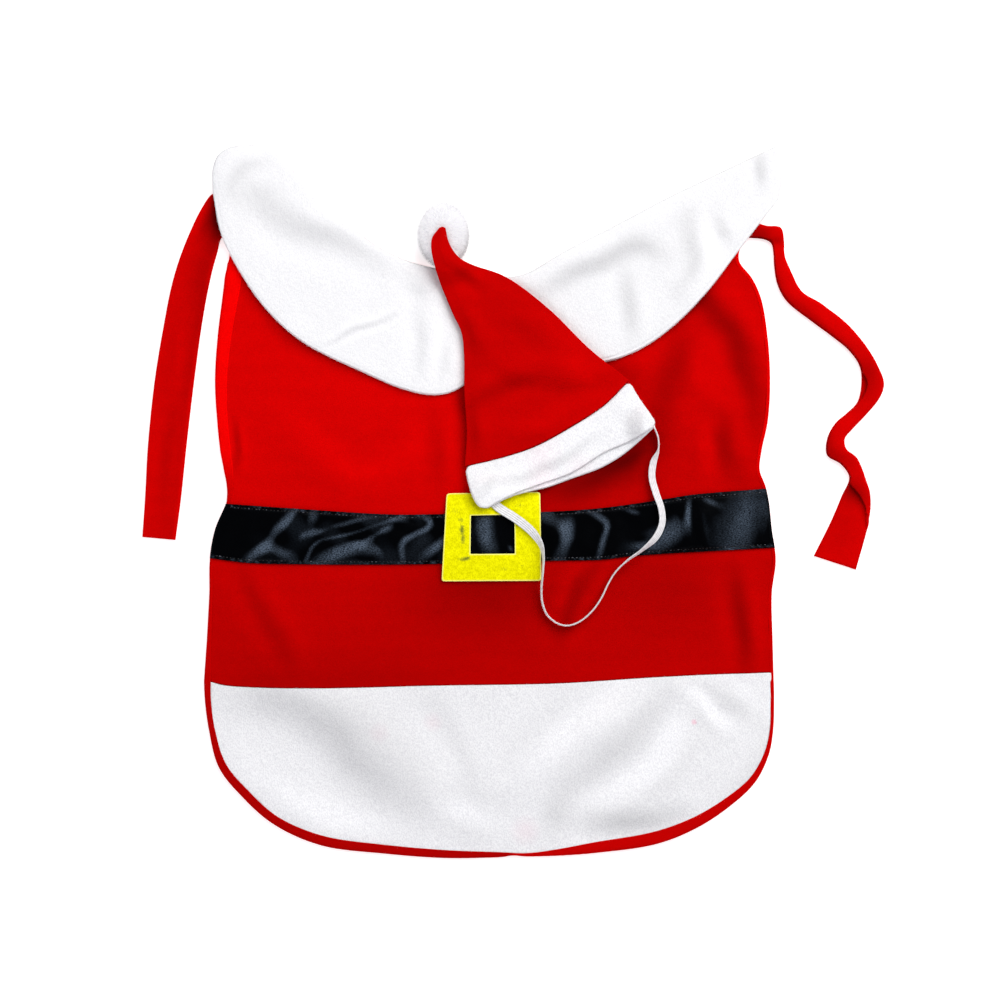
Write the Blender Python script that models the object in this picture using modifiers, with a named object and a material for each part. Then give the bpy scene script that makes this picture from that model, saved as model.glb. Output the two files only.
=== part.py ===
"""Pet santa costume, laid flat on a table: a cape with its belt, collar and ties, and a small hat on it.

The neck of the cape points to +Y and the hem to -Y. The lining rests on the table at Z = 0. Every length
and place in the tables is in millimetres, and each solid is turned into metres as it is made.
"""

import math
import random

import bmesh
import bpy
import numpy as np
from mathutils import Vector
from mathutils.bvhtree import BVHTree

MM = 0.001
GAP = 0.3  # between pieces that touch or are sewn to each other

# Walls of cloth.
LINING_WALL = 1.3
PANEL_WALL = 1.5
HEM_WALL = 1.9
COLLAR_WALL = 3.4  # two layers of plush, turned
BELT_WALL = 1.0
BUCKLE_WALL = 1.6
TIE_WALL = 2.2
STRAP_WALL = 1.8
HAT_WALL = 1.4
CUFF_WALL = 2.2
ELASTIC_WALL = 1.1

STRAP_WIDTH = 26.0  # a tie, before it is folded lengthwise
STRAP_ROUND = 2.5  # outer radius of that fold
ELASTIC_WIDTH = 6.0
ELASTIC_CLEAR = 0.4  # under the elastic
SEAM_LIFT = LINING_WALL + GAP  # underside of the front layer
NECK_RIM = 1.5  # how far the lining rolls past the front along the neck
BELT_OVER_RIM = 1.2  # how far each end of the belt reaches past the front's side edge
BEVEL = 2.4  # how far in from its edge a plush piece begins to thin

# The cape's side edges. The lining is cut wider and rolls round the edge of the front, as a red rim.
# y, lining left, front left, front right, lining right
CAPE_SECTIONS = (
    (226, -188.5, -187.0, 170.0, 171.5),
    (206, -193.0, -191.0, 169.5, 171.0),
    (190, -191.5, -188.5, 162.0, 163.5),
    (177, -188.5, -184.5, 153.5, 155.0),
    (166, -188.0, -181.0, 147.8, 149.3),
    (158, -189.5, -179.5, 148.0, 149.6),
    (147, -191.5, -180.5, 156.5, 158.0),
    (133, -193.0, -183.0, 162.5, 164.0),
    (107, -196.0, -187.5, 166.6, 168.1),
    (80, -197.5, -190.0, 168.0, 169.5),
    (54, -196.0, -189.5, 166.6, 168.1),
    (34, -194.0, -187.5, 162.5, 164.0),
    (21, -191.5, -186.0, 161.3, 162.8),
    (10, -189.5, -185.8, 165.3, 166.8),
    (0, -189.5, -188.2, 167.5, 168.8),
    (-18, -197.0, -195.7, 169.4, 170.7),
    (-38, -200.5, -199.2, 172.1, 173.4),
    (-60, -200.8, -199.4, 169.4, 170.8),
    (-91, -202.5, -200.4, 169.9, 171.3),
    (-118, -204.5, -200.8, 170.6, 172.0),
)
LINING_LEFT, FRONT_LEFT, FRONT_RIGHT, LINING_RIGHT = 1, 2, 3, 4

# Curves across the cape, left to right: x, y.
NECK_EDGE = (
    (-187.0, 226.0),
    (-182.5, 231.0),
    (-174.0, 232.5),
    (-162.0, 229.0),
    (-150.5, 219.0),
    (-128.0, 195.0),
    (-100.5, 173.5),
    (-79.0, 160.0),
    (-54.0, 150.5),
    (-20.0, 146.5),
    (6.0, 147.0),
    (37.0, 163.0),
    (102.5, 197.0),
    (137.0, 213.5),
    (164.0, 226.5),
    (170.0, 226.0),
)
BELT_TOP = (
    (-188.6, -1),
    (-146, -4),
    (-81, -8),
    (-49, -7.8),
    (19, -6.4),
    (58, -3.8),
    (99, 2),
    (118, 5),
    (166, 9),
)
BELT_FOOT = (
    (-199, -37),
    (-176, -40),
    (-136, -41),
    (-65, -41),
    (21, -38.7),
    (58, -38),
    (79, -35.5),
    (171, -30),
)
HEM_SEAM = (
    (-200.8, -118),
    (-190, -120.7),
    (-126, -122.3),
    (-52, -120.8),
    (32, -119.2),
    (100, -114.8),
    (170.6, -112),
)

# The rounded hem, from its left end of the seam to its right end.
# x, y, width of the rolled rim outside it
HEM_EDGE = (
    (-200.8, -118.0, 3.7),
    (-200.6, -131.0, 3.2),
    (-198.0, -150.0, 3.2),
    (-190.5, -173.0, 4.6),
    (-176.0, -190.5, 5.2),
    (-155.5, -208.5, 5.2),
    (-125.5, -221.0, 6.0),
    (-85.5, -227.0, 5.2),
    (-45.0, -230.6, 4.6),
    (-9.0, -232.0, 2.6),
    (9.0, -232.6, 1.4),
    (29.5, -230.0, 3.6),
    (53.5, -225.5, 6.5),
    (93.0, -218.5, 7.8),
    (118.0, -209.5, 6.8),
    (139.5, -197.0, 5.4),
    (157.0, -182.5, 3.8),
    (166.5, -166.0, 2.4),
    (170.2, -151.0, 1.4),
    (170.9, -131.0, 1.4),
    (170.6, -112.0, 1.4),
)
HEM_CORNER = 0.2  # where the hem's round corners are, as a fraction of its edge from each end

# Soft ridges of the front, which stands off the lining there.
# x and y of one end, x and y of the other, height, half width
FOLDS = (
    (128, 118, 148, 62, 2.6, 15),
    (124, 78, 130, 36, 1.6, 14),
    (-150, 78, -120, 22, 1.0, 24),
    (-186, -58, -150, -96, 1.4, 17),
    (-40, -66, 30, -96, 1.3, 20),
    (152, -52, 158, -112, 1.8, 16),
    (-150, -124, -58, -188, 3.0, 19),
    (-186, -168, -128, -204, 1.6, 16),
    (-18, -192, 62, -150, 1.8, 18),
    (62, -150, 104, -118, 2.4, 17),
    (112, -186, 142, -140, 1.8, 18),
)

COLLAR_SPAN, COLLAR_DEPTH = 200.0, 70.0

# Each half of the collar: its edge at the neck, its outer edge, its two ends, and which end is on the left.
# Edges are x, y.
COLLAR_LEFT = {
    "neck": (
        (-186.5, 234.6),
        (-174.5, 236.0),
        (-160.5, 232.5),
        (-136.8, 210.7),
        (-112.4, 187.0),
        (-85.3, 166.4),
        (-57.0, 155.6),
        (-20.5, 150.8),
    ),
    "outer": (
        (-198.3, 205.5),
        (-192.9, 177.1),
        (-181.0, 152.7),
        (-163.0, 127.0),
        (-139.5, 105.8),
        (-98.5, 85.3),
        (-72.0, 74.3),
        (-53.0, 70.6),
        (-38.5, 73.5),
        (-26.0, 84.0),
        (-19.6, 101.0),
    ),
    "shoulder": ((-186.5, 234.6), (-194.5, 229.5), (-198.3, 220.0), (-198.3, 205.5)),
    "centre": ((-20.5, 150.8), (-18.4, 136.0), (-18.2, 118.0), (-19.6, 101.0)),
    "ends": ("shoulder", "centre"),
}
COLLAR_RIGHT = {
    "neck": (
        (-16.5, 150.0),
        (4.0, 149.6),
        (35.4, 166.5),
        (66.5, 182.4),
        (101.4, 200.8),
        (135.8, 217.3),
        (173.0, 235.0),
    ),
    "outer": (
        (-13.4, 112.0),
        (-9.0, 100.0),
        (2.0, 92.5),
        (18.0, 89.8),
        (40.0, 90.0),
        (61.2, 92.4),
        (84.0, 101.0),
        (104.5, 115.2),
        (126.5, 137.2),
        (147.5, 164.4),
        (164.5, 186.5),
        (174.8, 199.5),
    ),
    "centre": ((-16.5, 150.0), (-15.2, 137.0), (-14.2, 124.0), (-13.4, 112.0)),
    "shoulder": ((173.0, 235.0), (175.0, 233.0), (177.2, 214.0), (174.8, 199.5)),
    "ends": ("centre", "shoulder"),
}

# The left tie, a flat strap, from the side seam to its cut end.
# left edge x, y, right edge x, y
TIE_LEFT = (
    (-194.4, 206.0, -189.6, 176.5),
    (-200.0, 203.0, -191.8, 175.5),
    (-207.0, 192.5, -193.8, 172.5),
    (-213.5, 179.0, -195.4, 165.5),
    (-220.6, 161.0, -198.6, 154.0),
    (-226.0, 142.5, -202.0, 138.5),
    (-231.2, 116.0, -206.0, 115.5),
    (-236.8, 82.0, -210.6, 82.0),
    (-241.4, 39.0, -215.8, 38.0),
    (-243.4, 3.0, -219.6, 2.0),
    (-245.2, -23.0, -223.2, -25.0),
)

# The right tie, the same strap folded in half lengthwise, which opens out flat near its end.
# open edge x, y, folded edge x, y
TIE_RIGHT = (
    (154.8, 174.8, 162.4, 184.2),
    (166.0, 173.6, 168.5, 182.5),
    (170.5, 171.0, 176.5, 181.5),
    (171.8, 165.0, 178.8, 173.0),
    (172.4, 155.5, 179.5, 162.5),
    (174.5, 144.0, 184.5, 150.0),
    (180.5, 133.0, 190.5, 139.5),
    (197.8, 119.0, 204.5, 130.5),
    (210.0, 110.0, 218.5, 119.5),
    (222.0, 100.0, 231.5, 105.5),
    (228.8, 90.0, 240.5, 90.5),
    (230.1, 80.0, 244.8, 79.0),
    (227.5, 66.5, 241.0, 67.5),
    (220.5, 59.0, 231.5, 56.0),
    (213.0, 52.5, 223.5, 48.0),
    (207.4, 42.0, 218.8, 42.0),
    (207.4, 31.0, 220.0, 35.0),
    (216.5, 25.0, 227.5, 28.5),
    (222.0, 16.5, 233.0, 14.5),
    (217.0, 4.0, 236.0, 4.0),
    (210.0, -12.5, 234.8, -12.0),
    (198.5, -35.5, 226.0, -44.5),
)

# The hat: its two side edges from the tip, and the line where its cuff is sewn on. x, y.
HAT_LEFT = (
    (-48.5, 179.5),
    (-53.2, 173.0),
    (-53.7, 165.0),
    (-49.5, 148.0),
    (-40.5, 125.5),
    (-33.8, 110.0),
    (-32.2, 69.5),
    (-30.8, 45.0),
    (-32.2, 23.3),
)
HAT_RIGHT = (
    (-44.5, 179.5),
    (-41.8, 169.0),
    (-34.5, 159.5),
    (-5.5, 148.5),
    (23.5, 127.0),
    (50.5, 100.5),
    (76.4, 80.1),
)
HAT_TIP = ((-48.5, 179.5), (-46.5, 180.2), (-44.5, 179.5))
CUFF_SEAM = ((-32.2, 23.3), (-7.5, 29.2), (14.3, 36.5), (38.7, 49.7), (59.9, 63.6), (76.4, 80.1))
CUFF_LEFT = ((-32.2, 23.3), (-28.2, 7.0), (-24.0, -1.5), (-19.3, -5.1))
CUFF_RIGHT = ((76.4, 80.1), (81.6, 70.8), (88.9, 59.6), (94.6, 51.0))
MOUTH_FRONT = (
    (-19.3, -5.1),
    (-0.2, 5.1),
    (18.6, 12.1),
    (38.7, 19.3),
    (59.9, 32.5),
    (78.0, 40.5),
    (94.6, 51.0),
)
MOUTH_BACK = (
    (-19.3, -5.1),
    (-0.2, 4.0),
    (22.9, 10.0),
    (38.7, 15.6),
    (58.5, 23.0),
    (73.7, 32.3),
    (94.6, 51.0),
)
CUFF_SQUARE = Vector((-0.46, 0.89))  # from the cuff towards the tip of the hat, square to its seam
CUFF_SPAN, CUFF_DEPTH = 130.0, 32.0

POMPOM_CENTRE = (-47.0, 178.5)
POMPOM_CORE = (12.6, 15.4, 8.6)  # half its size along X, Y and Z
POMPOM_LOCK = 4.0  # how far a lock stands out
POMPOM_LOCKS = 240
POMPOM_LOCK_SIDE = 0.25  # a lock starts this far inside the edges of its face
POMPOM_LOWEST = -0.55  # its lowest locks start this far down the core
POMPOM_PRESSED = 0.8  # the locks on top lie this much flatter, because the hat's tip is on them

# The buckle's corners and those of its hole, x, y.
BUCKLE_OUTER = ((-44.1, 5.9), (17.8, 6.9), (18.5, -51.9), (-47.4, -52.2))
BUCKLE_HOLE = ((-27.9, -8.8), (0.6, -8.2), (0.9, -33.8), (-28.2, -34.0))
BUCKLE_CORNER = 2.2
HOLE_CORNER = 0.6

# The hat's elastic, from the left end of the cuff's mouth round to the right end.
# x, y, turn of the band about its own line in degrees: 0 lies flat, 90 stands on its edge
ELASTIC = (
    (-8.6, -4.2, 0),
    (0.1, -9.6, 5),
    (7.1, -14.6, 10),
    (13.7, -20.7, 20),
    (18.6, -28.0, 45),
    (20.3, -36.0, 62),
    (19.9, -46.0, 66),
    (19.0, -57.0, 66),
    (19.6, -66.0, 66),
    (22.9, -74.1, 66),
    (30.2, -79.7, 66),
    (37.0, -80.5, 66),
    (44.5, -77.4, 66),
    (52.2, -70.4, 66),
    (57.9, -62.0, 66),
    (62.0, -53.4, 66),
    (67.0, -45.4, 62),
    (74.4, -38.1, 55),
    (84.6, -30.8, 40),
    (93.6, -22.6, 20),
    (97.6, -13.4, 20),
    (97.0, -4.0, 10),
    (93.6, 6.0, 5),
    (91.0, 17.0, 5),
    (92.0, 26.5, 25),
    (95.0, 35.0, 50),
    (94.6, 43.2, 70),
)

# Columns and rows of the grids that the cloth is made on.
ACROSS = 30  # the cape's front
NECK_ROWS = 15
BELT_ROWS = 3
LOWER_ROWS = 7
HEM_ROWS = 9
COLLAR_GRID = (20, 7)
TIE_GRID = (3, 18)
STRAP_ROWS = 38
HAT_GRID = (10, 18)
CUFF_GRID = (18, 4)
ELASTIC_ROWS = 64

CURVE_STEPS = 24  # points between two rows of a table, where its curve is measured
FINE = 400  # points on a whole curve, where it is looked up


def spread(count, edge=0.0):
    """Even fractions from 0 to 1, with one more close to each end where an edge width is given."""
    even = np.linspace(0.0, 1.0, count + 1)
    return np.concatenate([even[:1], [edge], even[1:-1], [1 - edge], even[-1:]]) if edge else even


def smooth(table, fractions):
    """Points at these fractions of the length of a smooth curve through a table's rows."""
    knots = np.array(table, float)
    chords = np.linalg.norm(np.diff(knots[:, :2], axis=0), axis=1)
    times = np.concatenate([[0.0], np.cumsum(np.sqrt(chords))])
    slopes = np.gradient(knots, times, axis=0)
    s = np.linspace(0.0, 1.0, CURVE_STEPS, endpoint=False)[:, None]
    curve = []
    for i, step in enumerate(np.diff(times)):
        start = (2 * s**3 - 3 * s**2 + 1) * knots[i] + (s**3 - 2 * s**2 + s) * step * slopes[i]
        end = (3 * s**2 - 2 * s**3) * knots[i + 1] + (s**3 - s**2) * step * slopes[i + 1]
        curve.append(start + end)
    curve = np.vstack(curve + [knots[-1:]])
    steps = np.linalg.norm(np.diff(curve[:, :2], axis=0), axis=1)
    lengths = np.concatenate([[0.0], np.cumsum(steps)])
    return np.stack([np.interp(np.array(fractions) * lengths[-1], lengths, c) for c in curve.T], axis=1)


def patch(top, foot, left, right, across, down):
    """A grid of points that fills four edge curves. Top and foot run left to right, the sides top to foot."""
    u = across[None, :, None]
    v = down[:, None, None]
    ends = (1 - u) * ((1 - v) * top[0] + v * foot[0]) + u * ((1 - v) * top[-1] + v * foot[-1])
    return (1 - v) * top[None] + v * foot[None] + (1 - u) * left[:, None] + u * right[:, None] - ends


def side(column, y_from, y_to, down):
    """Points of one side edge of the cape between two heights. The column is one of CAPE_SECTIONS."""
    curve = smooth([(row[column], row[0]) for row in CAPE_SECTIONS], spread(FINE))[::-1]
    y = y_from + (y_to - y_from) * down
    return np.stack([np.interp(y, curve[:, 1], curve[:, 0]), y], axis=1)


def ridges(points):
    """Height of the front's folds over the points of a grid."""
    height = np.zeros(points.shape[:-1])
    for x1, y1, x2, y2, rise, half in FOLDS:
        start, along = np.array((x1, y1)), np.array((x2 - x1, y2 - y1))
        place = np.clip(((points - start) @ along) / (along @ along), 0.0, 1.0)[..., None]
        distance = np.linalg.norm(points - start - place * along, axis=-1)
        height += rise * np.exp(-((distance / half) ** 2))
    return height


def lifted(flat, height):
    """The points of a flat grid with these heights."""
    return np.concatenate([flat, np.broadcast_to(height, flat.shape[:-1])[..., None]], axis=-1)


def raised(grid, distance):
    """A grid moved straight up until it is this far from where it was, square to its surface."""
    normals = np.cross(np.gradient(grid, axis=1), -np.gradient(grid, axis=0))
    steepness = np.linalg.norm(normals, axis=-1) / normals[..., 2]
    return grid + (distance * steepness)[..., None] * (0, 0, 1)


def material(name, colour, roughness):
    finish = bpy.data.materials.new(name)
    finish.use_nodes = True
    shader = finish.node_tree.nodes["Principled BSDF"]
    shader.inputs["Base Color"].default_value = (*colour, 1.0)
    shader.inputs["Roughness"].default_value = roughness
    return finish


def add(name, mesh, finish, collection):
    mesh.materials.append(finish)
    piece = bpy.data.objects.new(name, mesh)
    collection.objects.link(piece)
    return piece


def cloth(name, grid, wall, finish, collection, rim=1.0, inwards=False):
    """A wall of cloth on a grid of points, whose rows run from its top down.

    The wall grows upwards from the grid, or inwards where the grid is its outside. Its border is thinner, to
    this share of the wall.
    """
    rows, columns = grid.shape[:2]
    shape = bmesh.new()
    bmesh.ops.create_grid(shape, x_segments=columns - 1, y_segments=rows - 1, size=1.0)
    shape.verts.ensure_lookup_table()
    for vertex, point in zip(shape.verts, grid[::-1].reshape(-1, 3)):
        vertex.co = Vector(point) * MM
    if inwards:
        bmesh.ops.reverse_faces(shape, faces=shape.faces)
    mesh = bpy.data.meshes.new(name)
    shape.to_mesh(mesh)
    shape.free()
    piece = add(name, mesh, finish, collection)
    body = piece.vertex_groups.new(name="wall")
    places = np.arange(rows * columns).reshape(rows, columns)
    body.add(places.ravel().tolist(), rim, "REPLACE")
    body.add(places[1:-1, 1:-1].ravel().tolist(), 1.0, "REPLACE")
    solidify = piece.modifiers.new("Wall", "SOLIDIFY")
    solidify.thickness = wall * MM
    solidify.offset = -1.0 if inwards else 1.0
    solidify.vertex_group = body.name
    mesh.shade_smooth()
    return piece


class Drape:
    """The height at which cloth lies over pieces that are already in place."""

    PITCH = 2.0
    TOP = 80.0
    MARGIN = 6.0

    def __init__(self, pieces, over, reach, soften):
        """Heights round these points. Each height covers all within reach, and is softened."""
        low, high = np.min(over, axis=0) - self.MARGIN, np.max(over, axis=0) + self.MARGIN
        bpy.context.view_layer.update()
        depsgraph = bpy.context.evaluated_depsgraph_get()
        trees = [(BVHTree.FromObject(piece, depsgraph), piece.location) for piece in pieces]
        self.x = np.arange(low[0], high[0] + self.PITCH, self.PITCH)
        self.y = np.arange(low[1], high[1] + self.PITCH, self.PITCH)
        bare = np.array([[self.below(trees, x, y) for x in self.x] for y in self.y])
        self.height = self.spaced(bare, reach + soften, np.maximum.reduce)
        self.height = self.spaced(self.height, soften, lambda layers: np.mean(layers, axis=0))

    def below(self, trees, x, y):
        start = Vector((x, y, self.TOP)) * MM
        hits = [(tree.ray_cast(start - place, Vector((0, 0, -1)))[0], place) for tree, place in trees]
        return max([(hit.z + place.z) / MM for hit, place in hits if hit], default=0.0)

    def spaced(self, field, radius, combine):
        """Combines each height with those around it."""
        reach = int(math.ceil(radius / self.PITCH))
        padded = np.pad(field, reach, mode="edge")
        rows, columns = field.shape
        layers = [
            padded[reach + j : reach + j + rows, reach + i : reach + i + columns]
            for j in range(-reach, reach + 1)
            for i in range(-reach, reach + 1)
            if i * i + j * j <= reach * reach
        ]
        return combine(layers)

    def __call__(self, points):
        """Heights over points, from the four nearest of the field."""
        i = np.clip((points[..., 0] - self.x[0]) / self.PITCH, 0, len(self.x) - 1.001)
        j = np.clip((points[..., 1] - self.y[0]) / self.PITCH, 0, len(self.y) - 1.001)
        i0, j0 = i.astype(int), j.astype(int)
        a, b = i - i0, j - j0
        low = (1 - a) * self.height[j0, i0] + a * self.height[j0, i0 + 1]
        high = (1 - a) * self.height[j0 + 1, i0] + a * self.height[j0 + 1, i0 + 1]
        return (1 - b) * low + b * high


def front_grids():
    """The flat grids of the front panel, of the strip of it under the belt, and of the hem band."""
    columns = spread(ACROSS)
    neck = smooth(NECK_EDGE, columns)
    belt_top = smooth(BELT_TOP, columns)
    belt_foot = smooth(BELT_FOOT, columns)
    seam = smooth(HEM_SEAM, columns)

    def stretch(top, foot, rows):
        down = spread(rows)
        left = side(FRONT_LEFT, top[0, 1], foot[0, 1], down)
        right = side(FRONT_RIGHT, top[-1, 1], foot[-1, 1], down)
        top[0], top[-1], foot[0], foot[-1] = left[0], right[0], left[-1], right[-1]
        return patch(top, foot, left, right, columns, down)

    upper = stretch(neck, belt_top, NECK_ROWS)
    strip = stretch(belt_top, belt_foot, BELT_ROWS)
    lower = stretch(belt_foot, seam, LOWER_ROWS)
    panel = np.concatenate([upper, strip[1:], lower[1:]])

    hem_top = seam - (0, GAP)
    edge = np.array([(x, y) for x, y, rim in HEM_EDGE])
    edge[0], edge[-1] = hem_top[0], hem_top[-1]
    down = spread(HEM_ROWS)
    left = smooth(edge, HEM_CORNER * down)
    right = smooth(edge, 1 - HEM_CORNER * down)
    foot = smooth(edge, HEM_CORNER + (1 - 2 * HEM_CORNER) * columns)
    hem = patch(hem_top, foot, left, right, columns, down)
    return panel, strip, hem


def outward(ring):
    """Outward directions at the points of a flat ring that runs clockwise."""
    along = np.roll(ring, -1, axis=0) - np.roll(ring, 1, axis=0)
    across = np.stack([-along[:, 1], along[:, 0]], axis=1)
    return across / np.linalg.norm(across, axis=1, keepdims=True)


def rim_widths(ring):
    """How far the lining reaches past the front at each point of the front's side and hem edges."""
    sections = np.array(CAPE_SECTIONS)[::-1].T
    left = np.interp(ring[:, 1], sections[0], sections[FRONT_LEFT] - sections[LINING_LEFT])
    right = np.interp(ring[:, 1], sections[0], sections[LINING_RIGHT] - sections[FRONT_RIGHT])
    hem = smooth(HEM_EDGE, spread(FINE))
    nearest = np.linalg.norm(ring[:, None] - hem[None, :, :2], axis=2).argmin(axis=1)
    sides = np.where(ring[:, 0] < 0, left, right)
    return np.where(ring[:, 1] < HEM_EDGE[0][1], hem[nearest, 2], sides)


def make_lining(panel, hem, finish, collection):
    """The lining: a flat sheet whose edge is rolled up round the edge of the front."""
    neck_row, right, left = panel[0], panel[1:, -1], panel[1:, 0][::-1]
    hem_right, foot, hem_left = hem[1:, -1], hem[-1, 1:-1][::-1], hem[1:, 0][::-1]
    ring = np.concatenate([neck_row, right, hem_right, foot, hem_left, left])
    out = outward(ring)
    rim = rim_widths(ring)[:, None]
    rim[: len(neck_row)] = NECK_RIM
    top = SEAM_LIFT + PANEL_WALL
    # Distance from the front's edge, as a share of the rim, and height: up from the table and back in.
    sections = ((0.75, 0.0), (1.0, 0.9), (0.86, 2.3), (0.5, top), (0.12, top - 0.5), (0.0, LINING_WALL))
    shape = bmesh.new()
    faces = []
    for share, height in sections:
        offset = GAP + share * (rim - GAP)
        points = np.concatenate([ring + out * offset, np.full((len(ring), 1), height)], axis=1)
        if not faces:
            faces.append(shape.faces.new([shape.verts.new(Vector(point) * MM) for point in points]))
            continue
        drawn = bmesh.ops.extrude_face_region(shape, geom=faces[-1:])["geom"]
        if len(faces) > 1:
            bmesh.ops.delete(shape, geom=faces[-1:], context="FACES_ONLY")
        faces.append(next(item for item in drawn if isinstance(item, bmesh.types.BMFace)))
        for loop, point in zip(faces[-1].loops, points):
            loop.vert.co = Vector(point) * MM
    bmesh.ops.recalc_face_normals(shape, faces=shape.faces)
    mesh = bpy.data.meshes.new("lining")
    shape.to_mesh(mesh)
    shape.free()
    return add("lining", mesh, finish, collection)


def make_belt(strip, finish, collection):
    """The ribbon, made from the points of the panel under it and moved out, with its ends over the rim."""
    grid = raised(lifted(strip, SEAM_LIFT + ridges(strip)), PANEL_WALL + GAP)
    grid[:, 0, 0] -= BELT_OVER_RIM
    grid[:, -1, 0] += BELT_OVER_RIM
    return cloth("belt", grid, BELT_WALL, finish, collection)


def rounded(corners, radius, steps=3):
    """The corners of a flat outline, each replaced by a short arc."""
    points = []
    count = len(corners)
    for i in range(count):
        corner = Vector(corners[i])
        before = (Vector(corners[i - 1]) - corner).normalized() * radius
        after = (Vector(corners[(i + 1) % count]) - corner).normalized() * radius
        for k in range(steps + 1):
            t = k / steps
            points.append(corner + before * (1 - t) ** 2 + after * t**2)
    return points


def make_buckle(base, finish, collection):
    """A flat felt frame with a square hole."""
    curve = bpy.data.curves.new("buckle", "CURVE")
    curve.dimensions = "2D"
    curve.fill_mode = "BOTH"
    curve.extrude = BUCKLE_WALL / 2 * MM
    for corners, radius in ((BUCKLE_OUTER, BUCKLE_CORNER), (BUCKLE_HOLE, HOLE_CORNER)):
        points = rounded(corners, radius)
        spline = curve.splines.new("POLY")
        spline.points.add(len(points) - 1)
        for target, point in zip(spline.points, points):
            target.co = (point.x * MM, point.y * MM, 0.0, 1.0)
        spline.use_cyclic_u = True
    curve.materials.append(finish)
    piece = bpy.data.objects.new("buckle", curve)
    piece.location.z = (base + BUCKLE_WALL / 2) * MM
    collection.objects.link(piece)
    return piece


def make_collar(name, edges, carries, finish, collection):
    """One half of the collar, a turned double layer of plush that is thinner at its edge."""
    across, down = spread(COLLAR_GRID[0], BEVEL / COLLAR_SPAN), spread(COLLAR_GRID[1], BEVEL / COLLAR_DEPTH)
    left, right = (smooth(edges[end], down) for end in edges["ends"])
    flat = patch(smooth(edges["neck"], across), smooth(edges["outer"], across), left, right, across, down)
    lies_on = Drape(carries, flat.reshape(-1, 2), 9, 5)
    return cloth(name, lifted(flat, lies_on(flat) + GAP), COLLAR_WALL, finish, collection, rim=0.4)


def make_tie_left(finish, collection):
    """The flat strap, on the table."""
    rails = smooth(TIE_LEFT, spread(TIE_GRID[1], 0.01))
    u = spread(TIE_GRID[0], 0.06)[None, :, None]
    flat = (1 - u) * rails[:, None, :2] + u * rails[:, None, 2:]
    return cloth("tie_left", lifted(flat, 0.0), TIE_WALL, finish, collection, rim=0.55)


def folded_section(width):
    """Across a strap that is folded lengthwise: distances from its open edge, and heights, of its outside."""
    inner = STRAP_ROUND - STRAP_WALL / 2
    folded_width = STRAP_WIDTH - math.pi * inner + STRAP_ROUND
    turn = math.pi * min(1.0, max(0.05, (STRAP_WIDTH - width) / (STRAP_WIDTH - folded_width)))
    flat = width - STRAP_ROUND * math.sin(min(turn, math.pi / 2))
    flap = max(0.6, min(flat - 0.8, STRAP_WIDTH - flat - turn * inner))
    points = [(flat * t, 0.0) for t in (0.0, 0.5)]
    for k in range(5):
        angle = turn * k / 4
        points.append((flat + STRAP_ROUND * math.sin(angle), STRAP_ROUND * (1 - math.cos(angle))))
    end, height = points[-1]
    along = (math.cos(turn), math.sin(turn))
    points += [(end + flap * t * along[0], height + flap * t * along[1]) for t in (0.5, 1.0)]
    return np.array(points)


def make_tie_right(finish, collection):
    """The strap folded over itself, opening out flat at its end."""
    rails = smooth(TIE_RIGHT, spread(STRAP_ROWS))
    grid = []
    for rail in rails:
        start, end = rail[:2], rail[2:]
        width = np.linalg.norm(end - start)
        section = folded_section(width)
        flat = start + section[:, :1] * (end - start) / width
        grid.append(np.concatenate([flat, section[:, 1:]], axis=1))
    return cloth("tie_right", np.array(grid), STRAP_WALL, finish, collection, inwards=True)


def make_pompom(finish, collection):
    """A ball of plush: a core whose faces are each drawn out into a three-sided lock."""
    shape = bmesh.new()
    bmesh.ops.create_icosphere(shape, subdivisions=3, radius=1.0)
    bmesh.ops.scale(shape, vec=POMPOM_CORE, verts=shape.verts)
    faces = [face for face in shape.faces if face.calc_center_median().z > POMPOM_LOWEST * POMPOM_CORE[2]]
    bmesh.ops.inset_individual(shape, faces=faces[:POMPOM_LOCKS], thickness=POMPOM_LOCK_SIDE)
    source = random.Random(7)
    for face in faces[:POMPOM_LOCKS]:
        pressed = 1.0 - POMPOM_PRESSED * max(0.0, face.normal.z)
        bmesh.ops.poke(shape, faces=[face], offset=POMPOM_LOCK * pressed * source.uniform(0.75, 1.0))
    height = GAP - min(vertex.co.z for vertex in shape.verts)
    place = Vector((*POMPOM_CENTRE, height))
    bmesh.ops.translate(shape, vec=place, verts=shape.verts)
    bmesh.ops.scale(shape, vec=(MM, MM, MM), verts=shape.verts)
    mesh = bpy.data.meshes.new("pompom")
    shape.to_mesh(mesh)
    shape.free()
    return add("pompom", mesh, finish, collection)


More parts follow.
